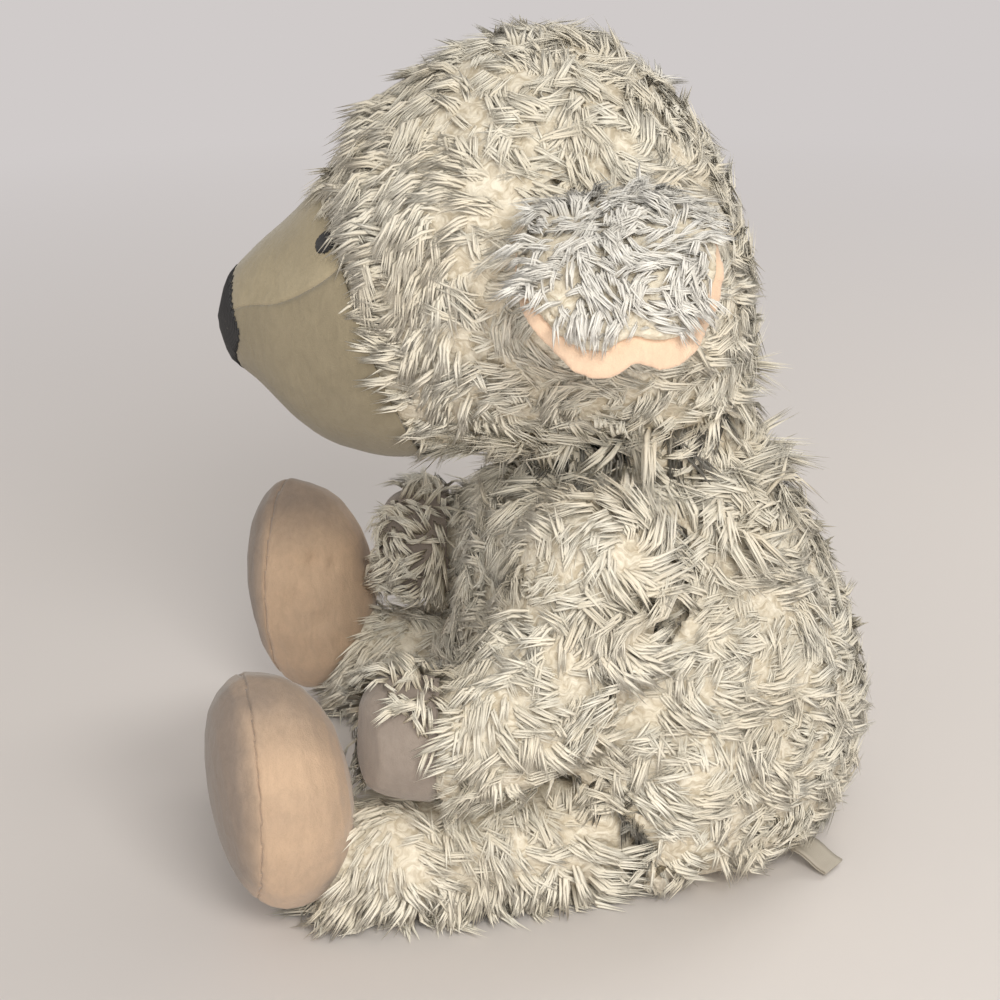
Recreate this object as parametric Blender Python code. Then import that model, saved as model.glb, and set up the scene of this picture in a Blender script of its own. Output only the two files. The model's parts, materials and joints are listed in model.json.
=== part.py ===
"""Plush sheep, sitting: sewn covers, stuffing and embroidery, each as its own closed solid.

Metres, +Z up. The toy faces -Y and its left side is +X. The origin is the middle of the flat
face that it sits on.
"""

import math

import bmesh
import bpy
from mathutils import Matrix, Vector

# Torso: a pear that swells towards the seat
TORSO_HEIGHT = 0.142
TORSO_WIDTH = 0.172
TORSO_DEPTH = 0.160
SEAT_CUT_DEPTH = 0.0005
PELLET_BAG_HEIGHT = 0.022

# Head: an egg that runs from the nape to the face seam
HEAD_LENGTH = 0.133
HEAD_WIDTH = 0.146
HEAD_HEIGHT = 0.147
HEAD_SET_BACK = 0.040
NECK_HEIGHT = 0.006
NECK_RADIUS = 0.036
NECK_CENTRE_BACK = 0.002

# Muzzle: a blunt cone of three velour panels
MUZZLE_LENGTH = 0.055
MUZZLE_WIDTH = 0.092
MUZZLE_HEIGHT = 0.101
NOSE_WIDTH = 0.034
NOSE_HEIGHT = 0.031
NOSE_THICKNESS = 0.0014
EYE_WIDTH = 0.006
EYE_HEIGHT = 0.009
EYE_THICKNESS = 0.0012
EYE_SPREAD = 0.056

# Ears: a furry back and a velour lining, sewn in a slot in the side of the head
EAR_LENGTH = 0.076
EAR_WIDTH = 0.066
EAR_BACK_THICKNESS = 0.009
EAR_LINING_THICKNESS = 0.005
EAR_DROOP_ANGLE = math.radians(85)
EAR_LIFT_ANGLE = math.radians(10)
EAR_TOE_ANGLE = math.radians(4)
EAR_TILT_ANGLE = math.radians(8)
EAR_SLOT_ROOM = 0.0020
EAR_LIP_LENGTH = 0.008
EAR_CUP_DEPTH = 0.006
EAR_SHARE_ALONG_HEAD = 0.44
EAR_SHARE_UP_HEAD = 0.70

# Arms hang forward, with the hands beside the feet
ARM_THICKNESS = 0.058
HAND_HEIGHT = 0.045
HAND_WIDTH = 0.042
HAND_LENGTH = 0.028
HAND_OUT = 0.020

# Legs lie forward on the floor, turned a little out
LEG_LENGTH = 0.106
LEG_THICKNESS = 0.048
LEG_SPLAY_ANGLE = math.radians(14)
FOOT_HEIGHT = 0.088
FOOT_WIDTH = 0.058
FOOT_DEPTH = 0.049
SOLE_DEPTH = 0.014
FOOT_RISE = 0.0085
FOOT_LEAN_ANGLE = math.radians(6)

# Cloth, seams and clearances
PLUSH_THICKNESS = 0.010
VELOUR_THICKNESS = 0.0035
PLAY = 0.0003
MERGE_DISTANCE = 0.00001
NOSE_LIFT = 0.0011
EYE_LIFT = 0.0009
TOUCH_CLEARANCE = 0.0015
LEG_IN_ANGLE = math.radians(10)
LEG_OUT_ANGLE = math.radians(8)
OVERRUN = 0.020
LABEL_WIDTH = 0.012
LABEL_LENGTH = 0.014
LABEL_THICKNESS = 0.0012
LABEL_FOLD_GAP = 0.0006
LABEL_RISE = 0.009
LABEL_LIFT = 0.0007
LABEL_TURN_ANGLE = math.radians(36)
LABEL_DROP_ANGLE = math.radians(20)

# Facets round each form
BODY_SIDES = 24
LIMB_SIDES = 14
INNER_BODY_SIDES = 14
INNER_LIMB_SIDES = 10
SMALL_SIDES = 8
NOSE_SIDES = 16
NOSE_STEPS = 5
EYE_STEPS = 3
POCKET_SEGMENTS = 24
PANEL_STEPS = 8
EAR_STEPS = 8
RING_STEPS = 2
SWEEP_STEPS = 3
CAP_STEPS = 4
FACE_RIM_RINGS = 3

# Shares along the torso: height, half width, half depth, centre towards the back
TORSO_SHARES = (
    (0.00, 0.40, 0.40, 0.020),
    (0.047, 0.80, 0.80, 0.025),
    (0.15, 0.95, 0.94, 0.030),
    (0.355, 1.00, 1.00, 0.030),
    (0.60, 0.92, 0.92, 0.025),
    (0.79, 0.80, 0.80, 0.005),
    (0.92, 0.67, 0.68, -0.010),
    (1.00, 0.47, 0.49, 0.012),
)

# Shares up the pellet bag: height, size
BAG_SHARES = (
    (0.00, 0.50),
    (0.20, 0.85),
    (0.50, 1.00),
    (0.80, 0.92),
    (1.00, 0.60),
)
BAG_SHARE_OF_DEPTH = 0.62

# Shares along the head: way from nape to face, height of the centre, half width, half height,
# lean of the ring towards the front, in right angles
HEAD_SHARES = (
    (0.00, 0.29, 0.00, 0.00, 0.00),
    (0.03, 0.30, 0.36, 0.37, 0.00),
    (0.12, 0.36, 0.69, 0.68, 0.00),
    (0.27, 0.44, 0.90, 0.88, 0.00),
    (0.49, 0.50, 1.00, 1.00, 0.00),
    (0.73, 0.49, 0.98, 0.96, 0.06),
    (0.90, 0.40, 0.83, 0.85, 0.16),
    (1.00, 0.30, 0.66, 0.70, 0.22),
)

# Shares along the muzzle: way to the tip, rise of the centre, half width, half height, lean
MUZZLE_SHARES = (
    (0.00, 0.000, 1.00, 1.000, 1.00),
    (0.18, -0.020, 0.93, 0.950, 0.80),
    (0.52, -0.032, 0.71, 0.735, 0.45),
    (0.77, 0.013, 0.48, 0.470, 0.20),
    (0.92, 0.015, 0.27, 0.295, 0.05),
    (1.00, 0.003, 0.00, 0.000, 0.00),
)

# How far round from the top line the muzzle's side seams run, at the face and at the nose
SEAM_SHARES = (0.56, 0.82)
# The eye's ring along the muzzle, and how much its upper end narrows
EYE_WAY_SHARE = 0.10
EYE_POINT_SHARE = 0.55

# Shares along the arm from the shoulder to the wrist: forward, down, out, half thickness
ARM_SHARES = (
    (0.00, 0.00, 0.00, 1.00),
    (0.10, 0.36, 0.25, 1.00),
    (0.34, 0.72, 0.62, 1.00),
    (0.62, 0.94, 0.90, 0.96),
    (0.86, 1.00, 1.00, 0.90),
    (1.00, 1.00, 1.00, 0.86),
)
SHOULDER_SHARES = (0.37, -0.125, 0.883)

# Shares along the hand: way from the wrist, half size
HAND_SHARES = (
    (0.00, 1.00),
    (0.35, 1.00),
    (0.70, 0.93),
    (0.90, 0.74),
    (1.00, 0.45),
)

# Shares along the leg: way to the middle of the foot, half thickness
LEG_SHARES = (
    (0.000, 1.00),
    (0.300, 0.99),
    (0.620, 0.97),
    (0.800, 0.92),
    (0.920, 0.70),
    (0.980, 0.36),
    (1.000, 0.00),
)
HIP_SHARES = (0.35, -0.14)

# Shares along the foot, from its back to its front: half width, half height
FOOT_SHARES = (
    (0.00, 0.00),
    (0.07, 0.50),
    (0.25, 0.86),
    (0.50, 1.00),
    (0.72, 0.97),
    (0.90, 0.72),
    (0.98, 0.36),
    (1.00, 0.00),
)

# Shares along the ear: way to the tip, half width, thickness
EAR_SHARES = (
    (0.00, 0.62, 0.55),
    (0.15, 0.76, 0.85),
    (0.38, 0.94, 1.00),
    (0.65, 1.00, 1.00),
    (0.85, 0.94, 0.90),
    (1.00, 0.80, 0.55),
)
EAR_EDGE_SHARE = 0.35
# How much the tip's corners are rounded off, and the pinch in the middle of the tip
EAR_CORNER_SHARE = 0.20
EAR_PINCH_SHARE = 0.06
EAR_PINCH_SPREAD_SHARE = 0.18

# Where the space that a leg sweeps starts, in radii in front of the hip
SWEEP_START_SHARE = 0.15

# Where the pieces sit, worked out from the sizes above
HALF = 0.5
FRONT = Vector((0, -1, 0))
SIDEWAYS = Vector((1, 0, 0))
UP = Vector((0, 0, 1))

NECK_PIVOT = Vector((0, NECK_CENTRE_BACK, TORSO_HEIGHT))
HEAD_FLOOR = TORSO_HEIGHT + NECK_HEIGHT

SHOULDER = Vector((
    SHOULDER_SHARES[0] * TORSO_WIDTH,
    SHOULDER_SHARES[1] * TORSO_DEPTH,
    SHOULDER_SHARES[2] * TORSO_HEIGHT,
))
HIP = Vector((
    HIP_SHARES[0] * TORSO_WIDTH,
    HIP_SHARES[1] * TORSO_DEPTH,
    HALF * LEG_THICKNESS - SEAT_CUT_DEPTH,
))
LEG_WAY = Vector((math.sin(LEG_SPLAY_ANGLE), -math.cos(LEG_SPLAY_ANGLE), 0))
LEG_TOP = LEG_THICKNESS - SEAT_CUT_DEPTH
HAND_REACH = LEG_LENGTH - HALF * FOOT_DEPTH - TOUCH_CLEARANCE
HAND_SIDE = SHOULDER.x + HAND_OUT - HIP.x
WRIST = Vector((
    SHOULDER.x + HAND_OUT,
    HIP.y - math.sqrt(HAND_REACH ** 2 - HAND_SIDE ** 2) + HAND_LENGTH,
    LEG_TOP + TOUCH_CLEARANCE + HALF * HAND_HEIGHT,
))


def clear_scene():
    for old in list(bpy.data.objects):
        bpy.data.objects.remove(old, do_unlink=True)


def material(name, colour, roughness):
    made = bpy.data.materials.new(name)
    made.use_nodes = True
    shader = made.node_tree.nodes["Principled BSDF"]
    shader.inputs["Base Color"].default_value = (*colour, 1)
    shader.inputs["Roughness"].default_value = roughness
    made.diffuse_color = (*colour, 1)
    return made


def smooth_between(rows, steps):
    """The rows with Catmull-Rom points between them, steps to each gap."""
    last = len(rows) - 1
    found = []
    for index in range(last):
        before = rows[max(index - 1, 0)]
        start = rows[index]
        end = rows[index + 1]
        after = rows[min(index + 2, last)]
        for step in range(steps):
            t = step / steps
            row = []
            for a, b, c, d in zip(before, start, end, after):
                row.append(HALF * (2 * b + (c - a) * t + (2 * a - 5 * b + 4 * c - d) * t ** 2
                                   + (3 * b - a - 3 * c + d) * t ** 3))
            found.append(tuple(row))
    found.append(tuple(rows[last]))
    return found


class Form:
    """A soft form: oval rings along a bent spine.

    Each ring has a centre, a way across, a way up and two half sizes.
    """

    def __init__(self, rings):
        self.rings = rings

    def way(self, index):
        before = self.rings[max(index - 1, 0)][0]
        after = self.rings[min(index + 1, len(self.rings) - 1)][0]
        return (after - before).normalized()

    def inset(self, depths, folds=False, flush=None):
        """The form that lies inside this one, by one depth all round or by one for each ring.

        Rings that the depth folds past an end are left out, unless folds is true. The ring whose
        number is flush is an open end, and stays in its plane.
        """
        rings = []
        last = len(self.rings) - 1
        if not isinstance(depths, list):
            depths = [depths] * len(self.rings)
        for index, (centre, across, up, width, height) in enumerate(self.rings):
            depth = depths[index]
            low = self.rings[max(index - 1, 0)]
            high = self.rings[min(index + 1, last)]
            run = (high[0] - low[0]).length
            rise = HALF * (high[3] + high[4] - low[3] - low[4])
            slope = math.hypot(run, rise)
            if width <= 0:
                rise, run = (slope if index == 0 else -slope), 0
            moved = centre + self.way(index) * (depth * rise / slope)
            shrink = depth * run / slope
            if index == flush:
                moved = centre
                shrink = depth * slope / run
            rings.append((moved, across, up, max(width - shrink, 0), max(height - shrink, 0)))
        if folds:
            return Form(rings)
        kept = rings[:1]
        for index in range(1, last):
            step = (rings[index][0] - kept[-1][0]).dot(self.way(index))
            if step > PLAY and min(rings[index][3:]) > PLAY:
                kept.append(rings[index])
        while len(kept) > 1 and (rings[last][0] - kept[-1][0]).dot(self.way(last)) < PLAY:
            kept.pop()
        return Form(kept + rings[last:])

    def longer(self, first, last):
        """The same form with its open ends drawn out straight."""
        rings = list(self.rings)
        if first:
            centre, *rest = rings[0]
            rings.insert(0, (centre - self.way(0) * first, *rest))
        if last:
            centre, *rest = rings[-1]
            rings.append((centre + self.way(len(self.rings) - 1) * last, *rest))
        return Form(rings)

    def point(self, index, angle, lift=0.0):
        """A point on ring index, at an angle from the up side, lifted off the surface."""
        centre, across, up, width, height = self.rings[index]
        side = across * (width * math.sin(angle)) + up * (height * math.cos(angle))
        out = across * (height * math.sin(angle)) + up * (width * math.cos(angle))
        if out.length > 0:
            side = side + out.normalized() * lift
        return centre + side

    def point_between(self, number, angle, lift):
        """The same for a ring number with a fraction."""
        low = min(max(int(number), 0), len(self.rings) - 2)
        share = number - low
        first = self.point(low, angle, lift)
        return first + (self.point(low + 1, angle, lift) - first) * share


def new_object(name, mesh, cloth):
    made = bpy.data.objects.new(name, mesh)
    bpy.context.scene.collection.objects.link(made)
    if cloth:
        mesh.materials.append(cloth)
    return made


def finish_mesh(name, work, cloth, smooth=True):
    bmesh.ops.remove_doubles(work, verts=work.verts, dist=MERGE_DISTANCE)
    bmesh.ops.recalc_face_normals(work, faces=work.faces)
    mesh = bpy.data.meshes.new(name)
    work.to_mesh(mesh)
    work.free()
    if smooth:
        mesh.shade_smooth()
    return new_object(name, mesh, cloth)


def loft(name, form, sides, cloth=None):
    """A closed solid through the form's rings."""
    work = bmesh.new()
    rings = []
    for index, ring in enumerate(form.rings):
        if ring[3] <= 0:
            rings.append([work.verts.new(ring[0])] * sides)
            continue
        turns = [2 * math.pi * side / sides for side in range(sides)]
        rings.append([work.verts.new(form.point(index, turn)) for turn in turns])
    for low, high in zip(rings, rings[1:]):
        for side in range(sides):
            after = (side + 1) % sides
            for corners in ((low[side], low[after], high[after]), (low[side], high[after], high[side])):
                if len(set(corners)) == len(corners):
                    work.faces.new(corners)
    for ring in (rings[0], rings[-1]):
        if ring[0] is not ring[1]:
            work.faces.new(ring)
    return finish_mesh(name, work, cloth)


def patch(name, outer, inner, cloth):
    """A closed slab between two grids of points, outer above inner."""
    work = bmesh.new()
    grids = []
    for grid in (outer, inner):
        grids.append([[work.verts.new(place) for place in row] for row in grid])
    rows = len(outer)
    columns = len(outer[0])
    for grid in grids:
        for row in range(rows - 1):
            for column in range(columns - 1):
                work.faces.new((grid[row][column], grid[row][column + 1],
                                grid[row + 1][column + 1], grid[row + 1][column]))
    top, bottom = grids
    rim = [(0, c) for c in range(columns)] + [(r, columns - 1) for r in range(1, rows)]
    rim += [(rows - 1, c) for c in range(columns - 2, -1, -1)] + [(r, 0) for r in range(rows - 2, 0, -1)]
    for (r, c), (nr, nc) in zip(rim, rim[1:] + rim[:1]):
        work.faces.new((top[r][c], top[nr][nc], bottom[nr][nc], bottom[r][c]))
    return finish_mesh(name, work, cloth)


def box(name, low, high):
    work = bmesh.new()
    bmesh.ops.create_cube(work, size=1)
    middle = (low + high) * HALF
    for vert in work.verts:
        vert.co = Vector(middle[k] + vert.co[k] * (high[k] - low[k]) for k in range(3))
    return finish_mesh(name, work, None, smooth=False)


def ball(name, centre, radius):
    work = bmesh.new()
    bmesh.ops.create_uvsphere(work, u_segments=POCKET_SEGMENTS, v_segments=POCKET_SEGMENTS // 2,
                              radius=radius)
    bmesh.ops.translate(work, verts=work.verts, vec=centre)
    return finish_mesh(name, work, None)


def rod(name, start, end, radius, segments=POCKET_SEGMENTS):
    way = end - start
    work = bmesh.new()
    bmesh.ops.create_cone(work, cap_ends=True, segments=segments, radius1=radius,
                          radius2=radius, depth=way.length)
    turn = UP.rotation_difference(way.normalized()).to_matrix().to_4x4()
    bmesh.ops.transform(work, verts=work.verts, matrix=Matrix.Translation((start + end) * HALF) @ turn)
    return finish_mesh(name, work, None)


def combine(target, other, operation, keep=False):
    """Cut, join or intersect the target with another solid, which is then removed unless kept."""
    step = target.modifiers.new("combine", "BOOLEAN")
    step.operation = operation
    step.solver = "EXACT"
    step.object = other
    graph = bpy.context.evaluated_depsgraph_get()
    made = bpy.data.meshes.new_from_object(target.evaluated_get(graph))
    target.modifiers.clear()
    work = bmesh.new()
    work.from_mesh(made)
    bmesh.ops.remove_doubles(work, verts=work.verts, dist=MERGE_DISTANCE)
    bmesh.ops.dissolve_degenerate(work, edges=work.edges, dist=MERGE_DISTANCE)
    work.to_mesh(made)
    work.free()
    old = target.data
    target.data = made
    bpy.data.meshes.remove(old)
    made.name = target.name
    if not keep:
        bpy.data.objects.remove(other, do_unlink=True)
    return target


def cut(target, *others, keep=False):
    for other in others:
        combine(target, other, "DIFFERENCE", keep)
    return target


def join(target, other):
    return combine(target, other, "UNION")


def flat_on_floor(target):
    """Cut off what hangs under the floor."""
    reach = TORSO_WIDTH + TORSO_DEPTH
    under = box("under", Vector((-reach, -reach, -reach)), Vector((reach, reach, 0)))
    return cut(target, under)


def pivot(target, centre):
    """Put the object's origin on its joint."""
    target.data.transform(Matrix.Translation(-centre))
    target.location = centre


# Forms
def torso_form():
    rows = smooth_between(TORSO_SHARES, RING_STEPS)
    rings = []
    for height, width, depth, back in rows:
        centre = Vector((0, back * TORSO_DEPTH, height * (TORSO_HEIGHT + SEAT_CUT_DEPTH) - SEAT_CUT_DEPTH))
        rings.append((centre, SIDEWAYS, FRONT, width * TORSO_WIDTH * HALF, depth * TORSO_DEPTH * HALF))
    return Form(rings)


def head_form():
    rings = []
    for way, height, width, tall, lean in smooth_between(HEAD_SHARES, RING_STEPS):
        half_height = tall * HEAD_HEIGHT * HALF
        centre = Vector((0, HEAD_SET_BACK - way * HEAD_LENGTH, HEAD_FLOOR + height * HEAD_HEIGHT))
        angle = lean * math.pi * HALF
        up = UP * math.cos(angle) + FRONT * math.sin(angle)
        rings.append((centre, SIDEWAYS, up, width * HEAD_WIDTH * HALF, half_height))
    return Form(rings)


def muzzle_form():
    face = head_form().rings[-1]
    lean = HEAD_SHARES[-1][4] * math.pi * HALF
    rings = []
    for way, rise, width, height, share in smooth_between(MUZZLE_SHARES, RING_STEPS):
        angle = lean * share
        up = UP * math.cos(angle) + FRONT * math.sin(angle)
        centre = face[0] + FRONT * (PLAY + way * MUZZLE_LENGTH) + UP * rise * MUZZLE_HEIGHT
        rings.append((centre, SIDEWAYS, up, width * MUZZLE_WIDTH * HALF, height * MUZZLE_HEIGHT * HALF))
    return Form(rings)


def mirrored(vector, side):
    return Vector((vector.x * side, vector.y, vector.z))


def spine_form(points, side):
    """Round rings square to a bent spine of (place, radius), mirrored for the right side."""
    rings = []
    for index, (place, size) in enumerate(points):
        before = points[max(index - 1, 0)][0]
        after = points[min(index + 1, len(points) - 1)][0]
        way = (after - before).normalized()
        across = (SIDEWAYS - way * SIDEWAYS.dot(way)).normalized()
        up = across.cross(way)
        if up.z < 0:
            up = -up
        rings.append((mirrored(place, side), mirrored(across, side), mirrored(up, side), size, size))
    return Form(rings)


def with_ball(points):
    """The spine's points with a half ball before the first, which turns in its pocket."""
    centre, radius = points[0]
    way = (points[1][0] - centre).normalized()
    turns = [math.pi * HALF * step / CAP_STEPS for step in range(CAP_STEPS)]
    cap = [(centre - way * radius * math.cos(turn), radius * math.sin(turn)) for turn in turns]
    return cap + points


def arm_form(side):
    points = []
    for forward, down, out, size in smooth_between(ARM_SHARES, RING_STEPS):
        place = Vector((
            SHOULDER.x + out * (WRIST.x - SHOULDER.x),
            SHOULDER.y + forward * (WRIST.y - SHOULDER.y),
            SHOULDER.z + down * (WRIST.z - SHOULDER.z),
        ))
        points.append((place, size * ARM_THICKNESS * HALF))
    return spine_form(with_ball(points), side)


def hand_form(side):
    wrist = arm_form(side).rings[-1]
    way = arm_form(side).way(len(arm_form(side).rings) - 1)
    rings = []
    for share, size in smooth_between(HAND_SHARES, RING_STEPS):
        centre = wrist[0] + way * (PLAY + share * HAND_LENGTH)
        rings.append((centre, wrist[1], wrist[2], size * HAND_WIDTH * HALF, size * HAND_HEIGHT * HALF))
    return Form(rings)


def leg_form(side):
    points = []
    for way, size in smooth_between(LEG_SHARES, RING_STEPS):
        points.append((HIP + way * LEG_LENGTH * LEG_WAY, size * LEG_THICKNESS * HALF))
    return spine_form(with_ball(points), side)


def foot_form(side):
    across = mirrored(LEG_WAY.cross(UP), side)
    up = mirrored(UP * math.cos(FOOT_LEAN_ANGLE) + LEG_WAY * math.sin(FOOT_LEAN_ANGLE), side)
    middle = Vector((0, 0, FOOT_RISE + HALF * FOOT_HEIGHT - HIP.z))
    rings = []
    for way, size in smooth_between(FOOT_SHARES, RING_STEPS):
        along = (way - HALF) * FOOT_DEPTH
        centre = mirrored(HIP + (LEG_LENGTH + along) * LEG_WAY + middle, side)
        rings.append((centre, across, up, size * FOOT_WIDTH * HALF, size * FOOT_HEIGHT * HALF))
    return Form(rings)


def ear_point(side, way, aside):
    """A point of the ear's middle at a way from its seam, and the way off the surface there."""
    radius = EAR_LENGTH / EAR_DROOP_ANGLE
    bend = EAR_LIFT_ANGLE - EAR_DROOP_ANGLE * way
    out = radius * (math.sin(EAR_LIFT_ANGLE) - math.sin(bend))
    rise = radius * (math.cos(bend) - math.cos(EAR_LIFT_ANGLE))
    off = EAR_UP * math.cos(bend) - EAR_OUT * math.sin(bend)
    cup = EAR_CUP_DEPTH * way * (aside / (HALF * EAR_WIDTH)) ** 2
    place = EAR_ROOT + EAR_OUT * out + EAR_UP * rise + EAR_ALONG * aside - off * cup
    return mirrored(place, side), mirrored(off, side)


def ear_reach(share):
    """How far the ear reaches at a share across it: round corners and a pinch between them."""
    pinch = EAR_PINCH_SHARE * math.exp(-(share / EAR_PINCH_SPREAD_SHARE) ** 2)
    return 1 - EAR_CORNER_SHARE * share ** 4 - pinch


def ear_root():
    """Where the ear's seam runs along the side of the head, a little into its cover."""
    form = head_form()
    along = HEAD_SET_BACK - EAR_SHARE_ALONG_HEAD * HEAD_LENGTH
    ring = min(form.rings, key=lambda found: abs(found[0].y - along))
    rise = (EAR_SHARE_UP_HEAD * HEAD_HEIGHT + HEAD_FLOOR - ring[0].z) / ring[4]
    return Vector((ring[3] * math.sqrt(1 - rise ** 2), along, ring[0].z + rise * ring[4]))


EAR_ROOT = ear_root()
EAR_OUT = Vector((math.cos(EAR_TOE_ANGLE), math.sin(EAR_TOE_ANGLE), 0))
EAR_LEVEL = Vector((math.sin(EAR_TOE_ANGLE), -math.cos(EAR_TOE_ANGLE), 0))
EAR_ALONG = EAR_LEVEL * math.cos(EAR_TILT_ANGLE) - UP * math.sin(EAR_TILT_ANGLE)
EAR_UP = EAR_LEVEL * math.sin(EAR_TILT_ANGLE) + UP * math.cos(EAR_TILT_ANGLE)
EAR_SLOT_RADIUS = EAR_BACK_THICKNESS * EAR_SHARES[0][2] + EAR_SLOT_ROOM


def spot(name, form, place, lift, thickness, rings, sides, cloth):
    """A lens of thread on a form. place(share, turn) gives a ring number and an angle."""
    work = bmesh.new()

    def row(share, height):
        found = []
        for side in range(sides):
            turn = 2 * math.pi * side / sides
            number, angle = place(share, turn)
            found.append(work.verts.new(form.point_between(number, angle, height)))
        return found

    rows = []
    for step in range(1, rings + 1):
        share = step / rings
        rows.append(row(share, lift + thickness * math.sqrt(1 - share ** 2)))
    rows += [row(step / rings, lift) for step in range(rings - 1, 0, -1)]
    for low, high in zip(rows, rows[1:]):
        for side in range(sides):
            after = (side + 1) % sides
            work.faces.new((low[side], low[after], high[after], high[side]))
    for ring in (rows[0], rows[-1]):
        work.faces.new(ring)
    return finish_mesh(name, work, cloth)


def leg_sweep(side):
    """The space that a leg passes through as it swings on the floor, with its play."""
    radius = pocket(HALF * LEG_THICKNESS)
    work = bmesh.new()
    rings = []
    for step in range(SWEEP_STEPS + 1):
        reach = radius * (SWEEP_START_SHARE + step)
        ring = []
        for corner in range(LIMB_SIDES):
            turn = 2 * math.pi * corner / LIMB_SIDES
            aside = math.sin(turn)
            swing = LEG_OUT_ANGLE if aside > 0 else -LEG_IN_ANGLE
            if abs(aside) < PLAY:
                swing = HALF * (LEG_OUT_ANGLE - LEG_IN_ANGLE)
            way = Vector((math.sin(LEG_SPLAY_ANGLE + swing), -math.cos(LEG_SPLAY_ANGLE + swing), 0))
            across = Vector((-way.y, way.x, 0))
            place = HIP + way * reach + across * (radius * aside) + UP * (radius * math.cos(turn))
            ring.append(work.verts.new(mirrored(place, side)))
        rings.append(ring)
    for low, high in zip(rings, rings[1:]):
        for corner in range(LIMB_SIDES):
            after = (corner + 1) % LIMB_SIDES
            work.faces.new((low[corner], low[after], high[after], high[corner]))
    for ring in (rings[0], rings[-1]):
        work.faces.new(ring)
    return finish_mesh("sweep", work, None)


# Pieces of the torso
def make_torso():
    form = torso_form()
    cover = loft("torso_cover", form, BODY_SIDES, CURLY_PLUSH)
    inside = form.inset(PLUSH_THICKNESS)
    cut(cover, loft("inside", inside.longer(0, OVERRUN), INNER_BODY_SIDES))
    wad = inside.inset(PLAY)
    stuffing = loft("torso_stuffing", wad.longer(0, OVERRUN), INNER_BODY_SIDES, STUFFING)
    reach = TORSO_WIDTH + TORSO_DEPTH
    cut(stuffing, box("above", Vector((-reach, -reach, TORSO_HEIGHT)), Vector((reach, reach, reach))))
    for piece in (cover, stuffing):
        for side in (1, -1):
            cut(piece, ball("shoulder", mirrored(SHOULDER, side), pocket(HALF * ARM_THICKNESS)))
            cut(piece, ball("hip", mirrored(HIP, side), pocket(HALF * LEG_THICKNESS)))
            cut(piece, leg_sweep(side))
    cut(stuffing, loft("room", bag_form(PLAY).longer(OVERRUN, 0), INNER_BODY_SIDES))
    loft("seat_pellet_bag", bag_form(0), INNER_BODY_SIDES, BAG_CLOTH)
    flat_on_floor(cover)


def bag_form(play):
    """A flat bag of pellets on the seat, between the hips."""
    seat = torso_form().rings[0]
    floor = seat[0].z + PLUSH_THICKNESS + PLAY
    width = HIP.x - pocket(HALF * LEG_THICKNESS) - PLAY
    depth = BAG_SHARE_OF_DEPTH * HALF * TORSO_DEPTH
    rings = []
    for height, size in BAG_SHARES:
        centre = Vector((0, seat[0].y, floor + PLAY + height * PELLET_BAG_HEIGHT))
        rings.append((centre, SIDEWAYS, FRONT, size * width, size * depth))
    return Form(rings).inset(-play)


def pocket(radius):
    """The radius of a faceted pocket that leaves a ball of this radius its play."""
    return (radius + PLAY) / math.cos(math.pi / POCKET_SEGMENTS) ** 2


def make_neck():
    neck = ball("neck_stuffing", NECK_PIVOT, NECK_RADIUS)
    neck.data.materials.append(STUFFING)
    reach = NECK_RADIUS + OVERRUN
    low = NECK_PIVOT - Vector((reach, reach, reach))
    high = NECK_PIVOT + Vector((reach, reach, PLAY))
    cut(neck, box("under", low, high))
    pivot(neck, NECK_PIVOT)


# Pieces of the head
def make_head():
    form = head_form()
    last = len(form.rings) - 1
    wall = []
    for index in range(last + 1):
        share = min((last - index) / FACE_RIM_RINGS, 1)
        wall.append(VELOUR_THICKNESS + (PLUSH_THICKNESS - VELOUR_THICKNESS) * share)
    cover = loft("head_cover", form, BODY_SIDES, CURLY_PLUSH)
    inside = form.inset(wall, flush=last)
    cut(cover, loft("inside", inside.longer(0, OVERRUN), INNER_BODY_SIDES))
    muzzle = muzzle_form()
    wad = inside.inset(PLAY).rings[:-1]
    wad += muzzle.inset(VELOUR_THICKNESS + 2 * PLAY, flush=0).rings
    stuffing = loft("head_stuffing", Form(wad), INNER_BODY_SIDES, STUFFING)
    for piece in (cover, stuffing):
        cut(piece, ball("neck", NECK_PIVOT, pocket(NECK_RADIUS)))
    for side in (1, -1):
        seam = HALF * EAR_WIDTH * EAR_SHARES[0][1] + 2 * PLAY
        root = mirrored(EAR_ROOT, side)
        along = mirrored(EAR_ALONG, side)
        cut(cover, rod("slot", root - along * seam, root + along * seam, EAR_SLOT_RADIUS))
    for piece in (cover, stuffing):
        pivot(piece, NECK_PIVOT)


def muzzle_seam_angle(share):
    """How far from the top line the side seam runs, from the face to the nose."""
    return math.pi * HALF * (SEAM_SHARES[0] + (SEAM_SHARES[1] - SEAM_SHARES[0]) * share)


def make_muzzle():
    outer = muzzle_form()
    inner = outer.inset(VELOUR_THICKNESS, folds=True, flush=0)
    rows = range(len(outer.rings) - RING_STEPS + 1)
    spans = {
        "muzzle_top_panel": lambda seam: (-seam, seam),
        "muzzle_side_panel_left": lambda seam: (seam, math.pi),
        "muzzle_side_panel_right": lambda seam: (-math.pi, -seam),
    }
    for name, span in spans.items():
        grids = []
        for form in (outer, inner):
            grid = []
            for row in rows:
                ring = outer.rings[row]
                first, last = span(muzzle_seam_angle(row / rows[-1]))
                slip = HALF * PLAY / max(ring[3], ring[4])
                first, last = first + slip, last - slip
                turns = [first + (last - first) * step / PANEL_STEPS for step in range(PANEL_STEPS + 1)]
                grid.append([form.point(row, turn) for turn in turns])
            grids.append(grid)
        pivot(patch(name, *grids, CREAM_VELOUR), NECK_PIVOT)


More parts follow.
